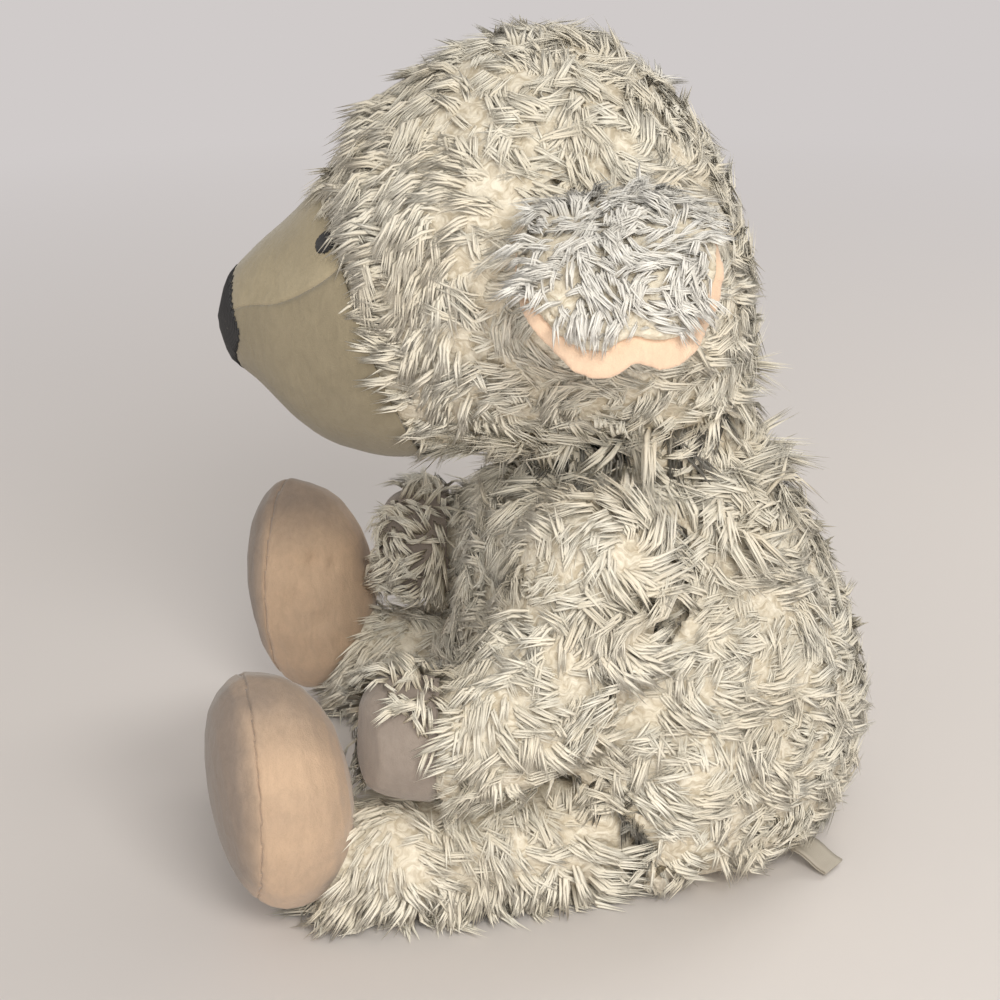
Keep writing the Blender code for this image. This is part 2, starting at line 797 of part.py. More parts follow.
def make_nose():
    form = muzzle_form()
    last = len(form.rings) - 1

    def leaf(share, turn):
        flat = abs(math.sin(turn)) / (HALF * NOSE_WIDTH)
        steep = (math.cos(turn) / (HALF * NOSE_HEIGHT)) ** 2
        reach = share * 2 / (flat + math.sqrt(flat ** 2 + 4 * steep))
        for index in range(last, 0, -1):
            low, high = form.rings[index], form.rings[index - 1]
            near, far = low[3] + low[4], high[3] + high[4]
            if far * HALF >= reach:
                return index - (reach - near * HALF) / (far * HALF - near * HALF), turn
        return 0, turn

    nose = spot("nose_embroidery", form, leaf, NOSE_LIFT, NOSE_THICKNESS, NOSE_STEPS, NOSE_SIDES,
                BLACK_THREAD)
    pivot(nose, NECK_PIVOT)


def make_eyes():
    form = muzzle_form()
    for side, name in ((1, "eye_embroidery_left"), (-1, "eye_embroidery_right")):
        row = EYE_WAY_SHARE * (len(form.rings) - 1)
        ring = form.rings[round(row)]
        middle = math.asin(HALF * EYE_SPREAD / ring[3])
        step = (form.rings[round(row) + 1][0] - ring[0]).length

        def almond(share, turn, side=side, middle=middle, ring=ring, step=step):
            narrow = 1 - EYE_POINT_SHARE * max(math.cos(turn), 0)
            along = share * HALF * EYE_WIDTH * math.sin(turn) * narrow / step
            around = share * HALF * EYE_HEIGHT * math.cos(turn) / ring[4]
            return row + along, side * (middle - around)

        eye = spot(name, form, almond, EYE_LIFT, EYE_THICKNESS, EYE_STEPS, SMALL_SIDES, BLACK_THREAD)
        pivot(eye, NECK_PIVOT)


def make_ears():
    layers = (
        ("ear_back", EAR_LENGTH - EAR_LIP_LENGTH, EAR_BACK_THICKNESS, 1, CURLY_PLUSH),
        ("ear_lining", EAR_LENGTH, EAR_LINING_THICKNESS, -1, PEACH_VELOUR),
    )
    for side, name in ((1, "left"), (-1, "right")):
        for layer, length, thick, face, cloth in layers:
            outer, inner = [], []
            for way, width, full in smooth_between(EAR_SHARES, RING_STEPS):
                outer_row, inner_row = [], []
                for step in range(EAR_STEPS + 1):
                    share = 2 * step / EAR_STEPS - 1
                    reach = way * length / EAR_LENGTH * ear_reach(share)
                    middle, off = ear_point(side, reach, share * width * HALF * EAR_WIDTH)
                    bulge = full * (EAR_EDGE_SHARE + (1 - EAR_EDGE_SHARE) * math.sqrt(1 - share ** 4))
                    outer_row.append(middle + off * (face * (HALF * PLAY + thick * bulge)))
                    inner_row.append(middle + off * (face * HALF * PLAY))
                outer.append(outer_row)
                inner.append(inner_row)
            pivot(patch(f"{layer}_{name}", outer, inner, cloth), mirrored(EAR_ROOT, side))


# Arms and legs
def flank(side, depth):
    """The torso's side, grown by a depth, with room for the arm's ball."""
    grown = loft("flank", torso_form().inset(-TOUCH_CLEARANCE - depth), BODY_SIDES)
    room = ball("room", mirrored(SHOULDER, side), HALF * (ARM_THICKNESS + PLAY) - depth)
    return cut(grown, room)


def lap(depth):
    """Everything under the arms' rest on the legs, grown by a depth."""
    reach = TORSO_WIDTH + TORSO_DEPTH
    top = LEG_TOP + TOUCH_CLEARANCE + depth
    return box("lap", Vector((-reach, -reach, -reach)), Vector((reach, reach, top)))


def make_arms():
    for side, name in ((1, "left"), (-1, "right")):
        arm = arm_form(side)
        hand = hand_form(side)
        centre = mirrored(SHOULDER, side)

        inside = arm.inset(PLUSH_THICKNESS, flush=len(arm.rings) - 1)
        palm = hand.inset(VELOUR_THICKNESS)
        hollow = loft("hollow", inside.longer(0, OVERRUN), INNER_LIMB_SIDES)
        cut(hollow, flank(side, PLUSH_THICKNESS), lap(PLUSH_THICKNESS))
        cover = loft(f"arm_cover_{name}", arm, LIMB_SIDES, CURLY_PLUSH)
        cut(cover, hollow, flank(side, 0), lap(0))

        sweep = rod("sweep", mirrored(HIP, side) - UP * OVERRUN,
                    mirrored(HIP, side) + UP * (TORSO_HEIGHT + OVERRUN), HAND_REACH, BODY_SIDES * 2)
        mitt = loft(f"hand_{name}", hand, LIMB_SIDES, TAUPE_VELOUR)
        combine(mitt, sweep, "INTERSECT")
        cut(mitt, loft("hollow", palm.longer(OVERRUN, 0), INNER_LIMB_SIDES), lap(0))

        wall = PLUSH_THICKNESS + 2 * PLAY
        wad = Form(inside.inset(PLAY).longer(0, VELOUR_THICKNESS).rings + palm.inset(PLAY).rings[1:])
        stuffing = loft(f"arm_stuffing_{name}", wad, INNER_LIMB_SIDES, STUFFING)
        cut(stuffing, flank(side, wall), lap(wall))
        for piece in (cover, mitt, stuffing):
            pivot(piece, centre)


def make_legs():
    for side, name in ((1, "left"), (-1, "right")):
        leg = leg_form(side)
        foot = foot_form(side)
        centre = mirrored(HIP, side)
        inner_leg = leg.inset(PLUSH_THICKNESS)
        inner_foot = foot.inset(VELOUR_THICKNESS)

        cover = loft(f"leg_cover_{name}", leg, LIMB_SIDES, CURLY_PLUSH)
        cut(cover, loft("hollow", inner_leg, INNER_LIMB_SIDES), loft("foot", foot.inset(-PLAY), LIMB_SIDES))

        upper = loft(f"foot_upper_{name}", foot, LIMB_SIDES, PEACH_VELOUR)
        sole = loft(f"foot_sole_{name}", foot, LIMB_SIDES, PEACH_VELOUR)
        for piece in (upper, sole):
            cut(piece, loft("hollow", inner_foot, INNER_LIMB_SIDES))
        cut(upper, loft("ankle", inner_leg, INNER_LIMB_SIDES))
        part_sole(upper, sole, foot)

        stuffing = loft(f"leg_stuffing_{name}", inner_leg.inset(PLAY), INNER_LIMB_SIDES, STUFFING)
        join(stuffing, loft("wad", inner_foot.inset(PLAY), INNER_LIMB_SIDES))
        for piece in (cover, upper, sole):
            flat_on_floor(piece)
        for piece in (cover, upper, sole, stuffing):
            pivot(piece, centre)


def part_sole(upper, sole, foot):
    """The sole is the foot's front; a plane square to the leg parts it from the upper."""
    way = foot.way(len(foot.rings) // 2)
    plane = foot.rings[-1][0] - way * SOLE_DEPTH
    place = Matrix.Translation(plane) @ FRONT.rotation_difference(way).to_matrix().to_4x4()
    reach = FOOT_HEIGHT + FOOT_WIDTH
    seam = HALF * PLAY
    front = box("front", Vector((-reach, -reach, -reach)), Vector((reach, seam, reach)))
    back = box("back", Vector((-reach, -seam, -reach)), Vector((reach, reach, reach)))
    for tool in (front, back):
        tool.data.transform(place)
    cut(upper, front)
    cut(sole, back)


def make_label():
    """A folded ribbon in the seat seam, behind on the left. It carries nothing."""
    form = torso_form()
    row = min(range(len(form.rings)), key=lambda index: abs(form.rings[index][0].z - LABEL_RISE))
    turn = math.pi - LABEL_TURN_ANGLE
    root = form.point(row, turn, LABEL_LIFT)
    out = Vector((math.sin(LABEL_TURN_ANGLE), math.cos(LABEL_TURN_ANGLE), 0))
    along = out * math.cos(LABEL_DROP_ANGLE) - UP * math.sin(LABEL_DROP_ANGLE)
    width = out.cross(UP)
    above = width.cross(along)
    leaf = LABEL_THICKNESS
    full = 2 * leaf + LABEL_FOLD_GAP
    outline = (
        (0, 0), (LABEL_LENGTH, 0), (LABEL_LENGTH, full), (0, full),
        (0, full - leaf), (LABEL_LENGTH - leaf, full - leaf), (LABEL_LENGTH - leaf, leaf), (0, leaf),
    )
    work = bmesh.new()
    edge = root + along * leaf - width * (HALF * LABEL_WIDTH)
    start = [work.verts.new(edge + along * x + above * y) for x, y in outline]
    face = work.faces.new(start)
    made = bmesh.ops.extrude_face_region(work, geom=[face])
    moved = [item for item in made["geom"] if isinstance(item, bmesh.types.BMVert)]
    bmesh.ops.translate(work, verts=moved, vec=width * LABEL_WIDTH)
    finish_mesh("care_label", work, RIBBON, smooth=False)


clear_scene()
CURLY_PLUSH = material("curly_plush", (0.78, 0.74, 0.66), 0.9)
CREAM_VELOUR = material("cream_velour", (0.51, 0.43, 0.28), 0.85)
PEACH_VELOUR = material("peach_velour", (0.68, 0.46, 0.32), 0.85)
TAUPE_VELOUR = material("taupe_velour", (0.42, 0.34, 0.28), 0.85)
STUFFING = material("stuffing", (0.90, 0.90, 0.88), 0.95)
BAG_CLOTH = material("bag_cloth", (0.70, 0.70, 0.68), 0.9)
BLACK_THREAD = material("black_thread", (0.01, 0.01, 0.012), 0.6)
RIBBON = material("ribbon", (0.75, 0.75, 0.74), 0.6)

make_torso()
make_neck()
make_head()
make_muzzle()
make_nose()
make_eyes()
make_ears()
make_arms()
make_legs()
make_label()
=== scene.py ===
"""Looks of the plush sheep: curly pile, velour, embroidery, ribbon, floor, light and camera.

The toy sits facing -Y with its left side towards +X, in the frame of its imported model.
"""

import json
import math
import random

import bmesh
import bpy
import numpy as np
from mathutils import Matrix, Vector, noise
from mathutils.bvhtree import BVHTree

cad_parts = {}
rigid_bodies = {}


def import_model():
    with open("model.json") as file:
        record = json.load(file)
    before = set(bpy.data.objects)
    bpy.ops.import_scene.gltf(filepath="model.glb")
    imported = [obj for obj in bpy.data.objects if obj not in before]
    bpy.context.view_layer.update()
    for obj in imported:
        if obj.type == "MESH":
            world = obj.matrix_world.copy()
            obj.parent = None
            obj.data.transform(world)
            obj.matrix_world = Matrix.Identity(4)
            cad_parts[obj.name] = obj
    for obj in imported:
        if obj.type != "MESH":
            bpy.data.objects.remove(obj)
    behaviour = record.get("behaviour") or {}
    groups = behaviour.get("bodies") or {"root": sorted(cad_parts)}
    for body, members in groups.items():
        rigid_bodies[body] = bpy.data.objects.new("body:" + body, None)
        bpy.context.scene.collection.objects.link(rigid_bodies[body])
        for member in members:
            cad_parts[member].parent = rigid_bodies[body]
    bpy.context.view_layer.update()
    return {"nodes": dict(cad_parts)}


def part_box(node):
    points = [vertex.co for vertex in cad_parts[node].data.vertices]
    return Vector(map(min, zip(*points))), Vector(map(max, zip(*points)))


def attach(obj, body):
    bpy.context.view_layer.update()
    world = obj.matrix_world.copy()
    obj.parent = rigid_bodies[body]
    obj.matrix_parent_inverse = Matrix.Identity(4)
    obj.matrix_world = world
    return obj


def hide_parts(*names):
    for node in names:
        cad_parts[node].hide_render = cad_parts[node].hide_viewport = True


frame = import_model()

HALF = 0.5
SIDES = ((1, "left"), (-1, "right"))
BLACK = (0, 0, 0, 1)
WHITE = (1, 1, 1, 1)
UP = Vector((0, 0, 1))
MERGE_DISTANCE = 0.00001

# Curly pile, in metres
PILE_LENGTH = 0.0185
PILE_DEPTH = 0.0080
UNDER_PILE = 0.0046
PILE_SPACING = 0.0020
PILE_DENSITY = 250000.0
WHORL_SIZE = 0.025
TUFT_SIZE = 0.012
EAR_PILE_SPACING = 0.0015
EAR_PILE_LENGTH = 0.0145
EAR_PILE_DEPTH = 0.0040
NECK_PILE_LENGTH = 0.014
WRIST_PILE_LENGTH = 0.013
FLOOR_GAP = 0.0004
FLOOR_SQUASH = 0.15
NEAR = 0.016
SEAT_FACING = -0.93
SEAT_TOP = 0.02
COVER_REACH = 0.006
SEAM_ROOM = 0.0004

# Soft skins, and the shells of the mitts and feet
BIG_VOXEL = 0.003
LIMB_VOXEL = 0.0025
EAR_VOXEL = 0.0018
LINING_VOXEL = 0.0013
RAY_START = 0.2
FILL_ROUNDS = 400

# Locks of the pile
BLADES_IN_LOCK = 8
BLADE_WIDTH_SHARE = 0.028
BLADE_FLATNESS = 0.20
BLADE_RINGS = ((0.0, 0.9), (0.55, 1.0))
LOCK_SHAPES = 8
FIRST_LOCK_SEED = 40
LEAST_SIZE, MOST_SIZE = 0.72, 1.18
WANDER = 1.6
LIE_SHARE = 0.45
LEAST_RISE = 0.45

# Muzzle, embroidery, velour and feet
FACE_CENTRE = Vector((0, -0.0933, 0.1921))
FACE_LEAN = 0.22 * math.pi * HALF
MUZZLE_LENGTH = 0.055
MUZZLE_WIDTH = 0.092
MUZZLE_HEIGHT = 0.101
MUZZLE_SHARES = (
    (0, 0, 1, 1, 1),
    (0.18, -0.020, 0.93, 0.950, 0.80),
    (0.52, -0.032, 0.71, 0.735, 0.45),
    (0.77, 0.013, 0.48, 0.470, 0.20),
    (0.92, 0.015, 0.27, 0.295, 0.05),
    (1, 0.003, 0, 0, 0),
)
SEAM_SHARES = (0.56, 0.82)
SEAM_DEPTH = 0.0004
SEAM_WIDTH = 0.0006
SEAM_SWELL = 0.0022
NOSE_TILT = 0.10
STITCH_STEPS = 10
VELOUR_THICKNESS = 0.0035
LEG_SPLAY = math.radians(14)
SOLE_DEPTH = 0.014

# The right foot's creases and dimples: height, place along the foot, depth and size of each
DENTS = (
    (0.020, 0.002, 0.0022, 0.0030),
    (0.018, 0.010, 0.0020, 0.0026),
    (0.006, -0.004, 0.0018, 0.0050),
    (-0.004, 0.006, 0.0016, 0.0055),
)

# Stage, light and camera
FLOOR_REACH = 4.0
FLOOR_FADE = (0.09, 0.26)
WARM = (1, 0.965, 0.90)
LIGHTS = (
    ("key", (1.10, 0.22, 0.90), (0, -0.02, 0.13), 0.55, 10.8),
    ("fill", (1.25, -0.25, 0.30), (0, 0, 0.13), 0.7, 2.6),
    ("back", (-0.6, 0.6, 0.9), (0, 0, 0.15), 0.6, 3.5),
)
CAMERA_LENS = 94.07
CAMERA_TARGET = Vector((0, -0.051, 0.124))
CAMERA_RISE = math.radians(22)
CAMERA_DISTANCE = 0.940


# Colours
def tone(red, green, blue):
    """A colour of 0 to 255 as the light values that shaders take."""
    found = []
    for value in (red, green, blue):
        value /= 255
        found.append(value / 12.92 if value <= 0.04045 else ((value + 0.055) / 1.055) ** 2.4)
    return (*found, 1)


def dulled(colour, share):
    return tuple(value * share for value in colour[:3]) + (1,)


class Nodes:
    """Short ways to add and join nodes in one tree."""

    def __init__(self, tree):
        self.tree = tree

    def put(self, target, value):
        """A link from a socket or a node's first one, or a plain value."""
        if isinstance(value, bpy.types.Node):
            value = value.outputs[0]
        if isinstance(value, bpy.types.NodeSocket):
            self.tree.links.new(value, target)
        else:
            target.default_value = value

    def add(self, kind, inputs=None, **settings):
        """A node of a kind named in full, or by what follows ShaderNode."""
        made = self.tree.nodes.new(kind if "Node" in kind else f"ShaderNode{kind}")
        for name, value in settings.items():
            setattr(made, name, value)
        for socket, value in (inputs or {}).items():
            self.put(made.inputs[socket], value)
        return made

    def maths(self, operation, *values):
        return self.add("Math", dict(enumerate(values)), operation=operation).outputs[0]

    def times(self, first, second):
        return self.maths("MULTIPLY", first, second)

    def plus(self, first, second):
        return self.maths("ADD", first, second)

    def vectors(self, operation, *values, result="Vector"):
        return self.add("VectorMath", dict(enumerate(values)), operation=operation).outputs[result]

    def scaled(self, vector, size):
        return self.add("VectorMath", {0: vector, "Scale": size}, operation="SCALE").outputs[0]

    def moved(self, vector, other, size):
        """One vector and another one times a size, added up."""
        return self.vectors("ADD", vector, self.scaled(other, size))

    def joined(self, x, y, z):
        return self.add("CombineXYZ", {"X": x, "Y": y, "Z": z})

    def ramp(self, value, *stops):
        made = self.add("ValToRGB", {"Fac": value})
        points = made.color_ramp.elements
        while len(points) < len(stops):
            points.new(1)
        for point, (place, colour) in zip(points, stops):
            point.position = place
            point.color = colour
        return made.outputs["Color"]

    def mix(self, share, first, second, blend="MIX"):
        inputs = {0: share, 6: first, 7: second}
        return self.add("Mix", inputs, data_type="RGBA", blend_type=blend).outputs[2]

    def place(self):
        return self.add("TexCoord").outputs["Object"]

    def attribute(self, name, result="Fac"):
        return self.add("Attribute", attribute_name=name).outputs[result]

    def stored(self, name, kind):
        """What Geometry Nodes find in an attribute of the mesh."""
        made = self.add("GeometryNodeInputNamedAttribute", {"Name": name}, data_type=kind)
        return made.outputs["Attribute"]

    def noise(self, place, scale, detail=2.0, result="Fac", **more):
        inputs = {"Vector": place, "Scale": scale, "Detail": detail, **more}
        return self.add("TexNoise", inputs).outputs[result]

    def waves(self, place, scale, bend):
        inputs = {"Vector": place, "Scale": scale, "Distortion": bend}
        return self.add("TexWave", inputs).outputs["Fac"]


def new_tree(name, kind, inputs, outputs):
    """A node group, whose sockets are given by name, kind and value."""
    tree = bpy.data.node_groups.new(name, kind)
    for way, sockets in (("INPUT", inputs), ("OUTPUT", outputs)):
        for label, sort, *value in sockets:
            made = tree.interface.new_socket(label, in_out=way, socket_type=f"NodeSocket{sort}")
            if value:
                made.default_value = value[0]
    kit = Nodes(tree)
    return tree, kit, kit.add("NodeGroupInput").outputs


def new_material(name):
    made = bpy.data.materials.new(name)
    made.use_nodes = True
    made.node_tree.nodes.clear()
    kit = Nodes(made.node_tree)
    shader = kit.add("BsdfPrincipled")
    kit.add("OutputMaterial", {"Surface": shader})
    return made, kit, shader


def set_looks(kit, shader, colour, bump, **looks):
    """Colour, bump and plain values on a shader, their names written with _ for a space."""
    looks = {"Base Color": colour, "Normal": kit.add("Bump", bump), **looks}
    for socket, value in looks.items():
        kit.put(shader.inputs[socket.replace("_", " ")], value)


def pile_material(name, root, middle, tip, dark):
    """Polyester pile: tan in the shade at its roots, paler towards its tips, in fine streaks."""
    made, kit, shader = new_material(name)
    along = kit.attribute("along")
    across = kit.attribute("across")
    tint = kit.attribute("tint")
    cloud = kit.noise(kit.place(), 38.0, 3.0)
    run = kit.joined(kit.times(across, 9.0), kit.times(along, 2.2), kit.times(tint, 90.0))
    streak = kit.noise(run, 1.0, 1.0)
    colour = kit.ramp(along, (0.0, root), (0.34, middle), (0.75, tip))
    colour = kit.mix(kit.ramp(tint, (0.0, dulled(WHITE, 0.45)), (0.4, BLACK)), colour, dark)
    colour = kit.mix(kit.ramp(cloud, (0.36, dulled(WHITE, 0.40)), (0.58, BLACK)), colour, dark)
    lines = kit.ramp(streak, (0.36, (0.82, 0.80, 0.76, 1)), (0.60, WHITE))
    colour = kit.mix(1.0, colour, lines, "MULTIPLY")
    own = kit.add("NewGeometry").outputs["Normal"]
    lie = kit.add("VectorTransform", {"Vector": kit.attribute("lie", "Vector")},
                  vector_type="VECTOR", convert_from="OBJECT", convert_to="WORLD")
    soft = kit.vectors("NORMALIZE", kit.moved(kit.scaled(lie, LIE_SHARE), own, 1 - LIE_SHARE))
    set_looks(kit, shader, colour, {"Strength": 0.35, "Distance": 0.0003, "Height": streak, "Normal": soft},
              Roughness=0.6, Specular_IOR_Level=0.3, Sheen_Weight=0.2)
    return made


def velour_group():
    """Short brushed pile: broad nap patches, fine mottling and its bump."""
    tree, kit, given = new_tree("brushed nap", "ShaderNodeTree", (
        ("Base", "Color"), ("Shaded", "Color"), ("Patch scale", "Float", 40.0), ("Patch share", "Float", 0.5),
        ("Pile scale", "Float", 2200.0), ("Shade", "Float", 0.0),
    ), (("Colour", "Color"), ("Height", "Float")))
    place = kit.place()
    bent = kit.moved(place, kit.noise(place, 90.0, result="Color"), 0.008)
    patch = kit.noise(bent, given["Patch scale"], 4.0, Roughness=0.6)
    long_way = kit.add("Mapping", {"Vector": bent, "Scale": (1.0, 1.0, 0.28)})
    streak = kit.noise(long_way, 520.0, 3.0)
    pile = kit.noise(place, given["Pile scale"])
    share = kit.times(kit.ramp(patch, (0.40, BLACK), (0.66, WHITE)), given["Patch share"])
    share = kit.maths("MINIMUM", kit.plus(share, given["Shade"]), 1.0)
    colour = kit.mix(share, given["Base"], given["Shaded"])
    grain = kit.plus(kit.times(streak, 0.6), kit.times(pile, 0.4))
    grey = kit.ramp(grain, (0.32, (0.90, 0.90, 0.89, 1)), (0.62, (1.04, 1.04, 1.03, 1)))
    colour = kit.mix(1.0, colour, grey, "MULTIPLY")
    height = kit.plus(pile, kit.times(streak, 1.4))
    height = kit.plus(height, kit.times(patch, 1.2))
    kit.add("NodeGroupOutput", {"Colour": colour, "Height": height})
    return tree


NAP = velour_group()


def velour_material(name, base, shaded, patch_scale=40.0, patch_share=0.5):
    made, kit, shader = new_material(name)
    nap = kit.add("Group", {
        "Base": base, "Shaded": shaded, "Patch scale": patch_scale, "Patch share": patch_share,
        "Shade": kit.attribute("shade")}, node_tree=NAP).outputs
    set_looks(kit, shader, nap["Colour"], {"Strength": 0.35, "Distance": 0.0006, "Height": nap["Height"]},
              Roughness=0.88, Specular_IOR_Level=0.25, Sheen_Weight=0.35, Sheen_Roughness=0.45)
    return made


def backing_material(name, base, shaded):
    """The knitted ground that the pile stands in, seen only in the partings."""
    made, kit, shader = new_material(name)
    place = kit.place()
    bent = kit.moved(place, kit.noise(place, 120.0, result="Color"), 0.02)
    bent = kit.add("Mapping", {"Vector": bent, "Scale": (0.35, 0.35, 1.0)})
    knit = kit.noise(bent, 900.0, 3.0)
    cloud = kit.noise(bent, 500.0, 3.0)
    colour = kit.mix(kit.ramp(cloud, (0.35, BLACK), (0.65, WHITE)), shaded, base)
    set_looks(kit, shader, colour, {"Strength": 0.6, "Distance": 0.0010, "Height": knit}, Roughness=0.95)
    return made


def thread_material(name, colour):
    """Twisted embroidery thread: fine slanting plies with a soft gloss."""
    made, kit, shader = new_material(name)
    place = kit.place()
    turned = kit.add("Mapping", {"Vector": place, "Rotation": (0.6, 0.5, 0.0)})
    plies = kit.waves(turned, 900.0, 1.5)
    pale = tuple(min(value * 2.4 + 0.006, 1) for value in colour[:3]) + (1,)
    shade = kit.mix(kit.times(kit.noise(place, 400.0), 0.5), colour, pale)
    set_looks(kit, shader, shade, {"Strength": 0.5, "Distance": 0.0001, "Height": plies},
              Roughness=0.45, Sheen_Weight=0.1)
    return made


def ribbon_material(name, colour):
    made, kit, shader = new_material(name)
    place = kit.place()
    weave = kit.waves(place, 1200.0, 0.6)
    shade = kit.mix(kit.times(kit.noise(place, 200.0), 0.6), colour, dulled(colour, 0.8))
    set_looks(kit, shader, shade, {"Strength": 0.3, "Distance": 0.00008, "Height": weave}, Roughness=0.5)
    return made


def floor_material(name, colour, far):
    """A pale floor that runs out into the backdrop's colour before its edge."""
    made, kit, shader = new_material(name)
    place = kit.place()
    cloud = kit.noise(place, 3.0, 4.0)
    kit.put(shader.inputs["Base Color"], kit.mix(cloud, dulled(colour, 0.96), colour))
    shader.inputs["Roughness"].default_value = 0.7
    away = kit.maths("DIVIDE", kit.vectors("LENGTH", place, result="Value"), FLOOR_REACH)
    away = kit.ramp(away, (FLOOR_FADE[0], BLACK), (FLOOR_FADE[1], WHITE))
    share = kit.times(away, kit.add("LightPath").outputs["Is Camera Ray"])
    glow = kit.add("Emission", {"Color": far, "Strength": 1.0})
    both = kit.add("MixShader", {0: share, 1: shader, 2: glow})
    kit.add("OutputMaterial", {"Surface": both}).is_active_output = True
    return made


PILE = pile_material("cream_curly_pile", tone(238, 226, 204), tone(253, 245, 227), tone(255, 251, 238),
                     tone(238, 226, 203))
EAR_PILE = pile_material("white_ear_pile", tone(236, 228, 214), tone(250, 247, 240), tone(255, 254, 250),
                         tone(240, 236, 228))
BACKING = backing_material("plush_backing", tone(250, 242, 224), tone(206, 193, 169))
# The side panels' velour is darker than the top panel's: partly the cloth's own beige, partly painted shade
# on the sides that face away from the light
MUZZLE_VELOUR = velour_material("muzzle_velour", tone(152, 141, 119), tone(134, 124, 103), 30.0, 0.6)
BRIDGE_VELOUR = velour_material("muzzle_bridge_velour", tone(172, 160, 135), tone(154, 142, 118), 30.0, 0.6)
FOOT_VELOUR = velour_material("foot_velour", tone(206, 178, 152), tone(144, 130, 120), 46.0, 0.25)
# The mitts' velour is a darker, greyer copy of the feet's peach velour: painted shade
HAND_VELOUR = velour_material("hand_velour", tone(160, 148, 139), tone(138, 127, 119), 46.0, 0.6)
LINING_VELOUR = velour_material("ear_lining_velour", tone(243, 213, 187), tone(226, 193, 166))
BLACK_THREAD = thread_material("black_thread", (0.006, 0.006, 0.007, 1))
RIBBON = ribbon_material("pale_ribbon", tone(186, 178, 164))


# Meshes
def new_object(name, mesh, material=None):
    made = bpy.data.objects.new(name, mesh)
    bpy.context.scene.collection.objects.link(made)
    if material:
        mesh.materials.clear()
        mesh.materials.append(material)
    return made


def remove(thing):
    mesh = thing.data
    bpy.data.objects.remove(thing, do_unlink=True)
    if mesh.users == 0:
        bpy.data.meshes.remove(mesh)


def baked(thing):
    """The object's mesh with its modifiers, as a plain mesh."""
    graph = bpy.context.evaluated_depsgraph_get()
    made = bpy.data.meshes.new_from_object(thing.evaluated_get(graph))
    thing.modifiers.clear()
    return made


def mesh_of(work, name, turned=False):
    """The mesh that was worked on, as a smooth new one with its faces turned outwards or as they are."""
    if turned:
        bmesh.ops.recalc_face_normals(work, faces=work.faces)
    mesh = bpy.data.meshes.new(name)
    work.to_mesh(mesh)
    work.free()
    mesh.shade_smooth()
    return mesh


def bridge(work, rows, closed=True, flipped=False, keep=None):
    """Four-cornered faces between rows of corners, all or those whose middle is to be kept."""
    for low, high in zip(rows, rows[1:]):
        for corner in range(len(low) if closed else len(low) - 1):
            after = (corner + 1) % len(low)
            corners = (low[corner], low[after], high[after], high[corner])
            if keep is None or keep(sum((vertex.co for vertex in corners), Vector()) / 4):
                work.faces.new(corners[::-1] if flipped else corners)


def rim_of(rows):
    """The corners round the outer edge of rows of corners."""
    first, last = [row[0] for row in rows], [row[-1] for row in rows]
    return rows[0][:-1] + last[:-1] + rows[-1][:0:-1] + first[:0:-1]


def node_mesh(names):
    """The named CAD nodes' meshes as one, with their doubles merged."""
    work = bmesh.new()
    for name in names:
        work.from_mesh(frame["nodes"][name].data)
    bmesh.ops.remove_doubles(work, verts=work.verts, dist=MERGE_DISTANCE)
    return mesh_of(work, "nodes")


def bvh(meshes):
    places, faces = [], []
    for mesh in meshes:
        base = len(places)
        places += [vertex.co.copy() for vertex in mesh.vertices]
        faces += [tuple(base + corner for corner in face.vertices) for face in mesh.polygons]
    return BVHTree.FromPolygons(places, faces)


def tree_of(names):
    mesh = node_mesh(names)
    made = bvh([mesh])
    bpy.data.meshes.remove(mesh)
    return made


def triples(values, name):
    found = np.zeros(len(values) * 3)
    values.foreach_get(name, found)
    return found.reshape(-1, 3)


def places_of(mesh):
    return triples(mesh.vertices, "co")


def normals_of(mesh):
    return triples(mesh.vertex_normals, "vector")


def put_places(mesh, places):
    mesh.vertices.foreach_set("co", places.ravel())
    mesh.update()


def middle_of(name):
    low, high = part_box(name)
    return (low + high) * HALF


def neighbour_mean(mesh, values, rounds):
    """Each value drawn towards its neighbours' mean, a number of rounds."""
    edges = np.zeros(len(mesh.edges) * 2, int)
    mesh.edges.foreach_get("vertices", edges)
    count = np.maximum(np.bincount(edges, minlength=len(values)), 1)
    first, second = edges.reshape(-1, 2).T
    flat = values.reshape(len(values), -1)
    for _ in range(rounds):
        total = np.zeros_like(flat)
        np.add.at(total, first, flat[second])
        np.add.at(total, second, flat[first])
        flat = HALF * flat + HALF * total / count[:, None]
    return flat.reshape(values.shape)


def skin(names, voxel, rounds, swell=0.0):
    """One soft closed skin round the named CAD nodes."""
    made = new_object("skin", node_mesh(names))
    step = made.modifiers.new("remesh", "REMESH")
    step.mode = "VOXEL"
    step.voxel_size = voxel
    mesh = baked(made)
    remove(made)
    places = neighbour_mean(mesh, places_of(mesh), rounds)
    put_places(mesh, places)
    if swell:
        put_places(mesh, places + normals_of(mesh) * swell)
    mesh.shade_smooth()
    return mesh


def dress(made, material, body, nodes):
    """Its material, and what it stands for, rides on and is filled with."""
    made.data.materials.clear()
    made.data.materials.append(material)
    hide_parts(*nodes)
    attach(made, body)


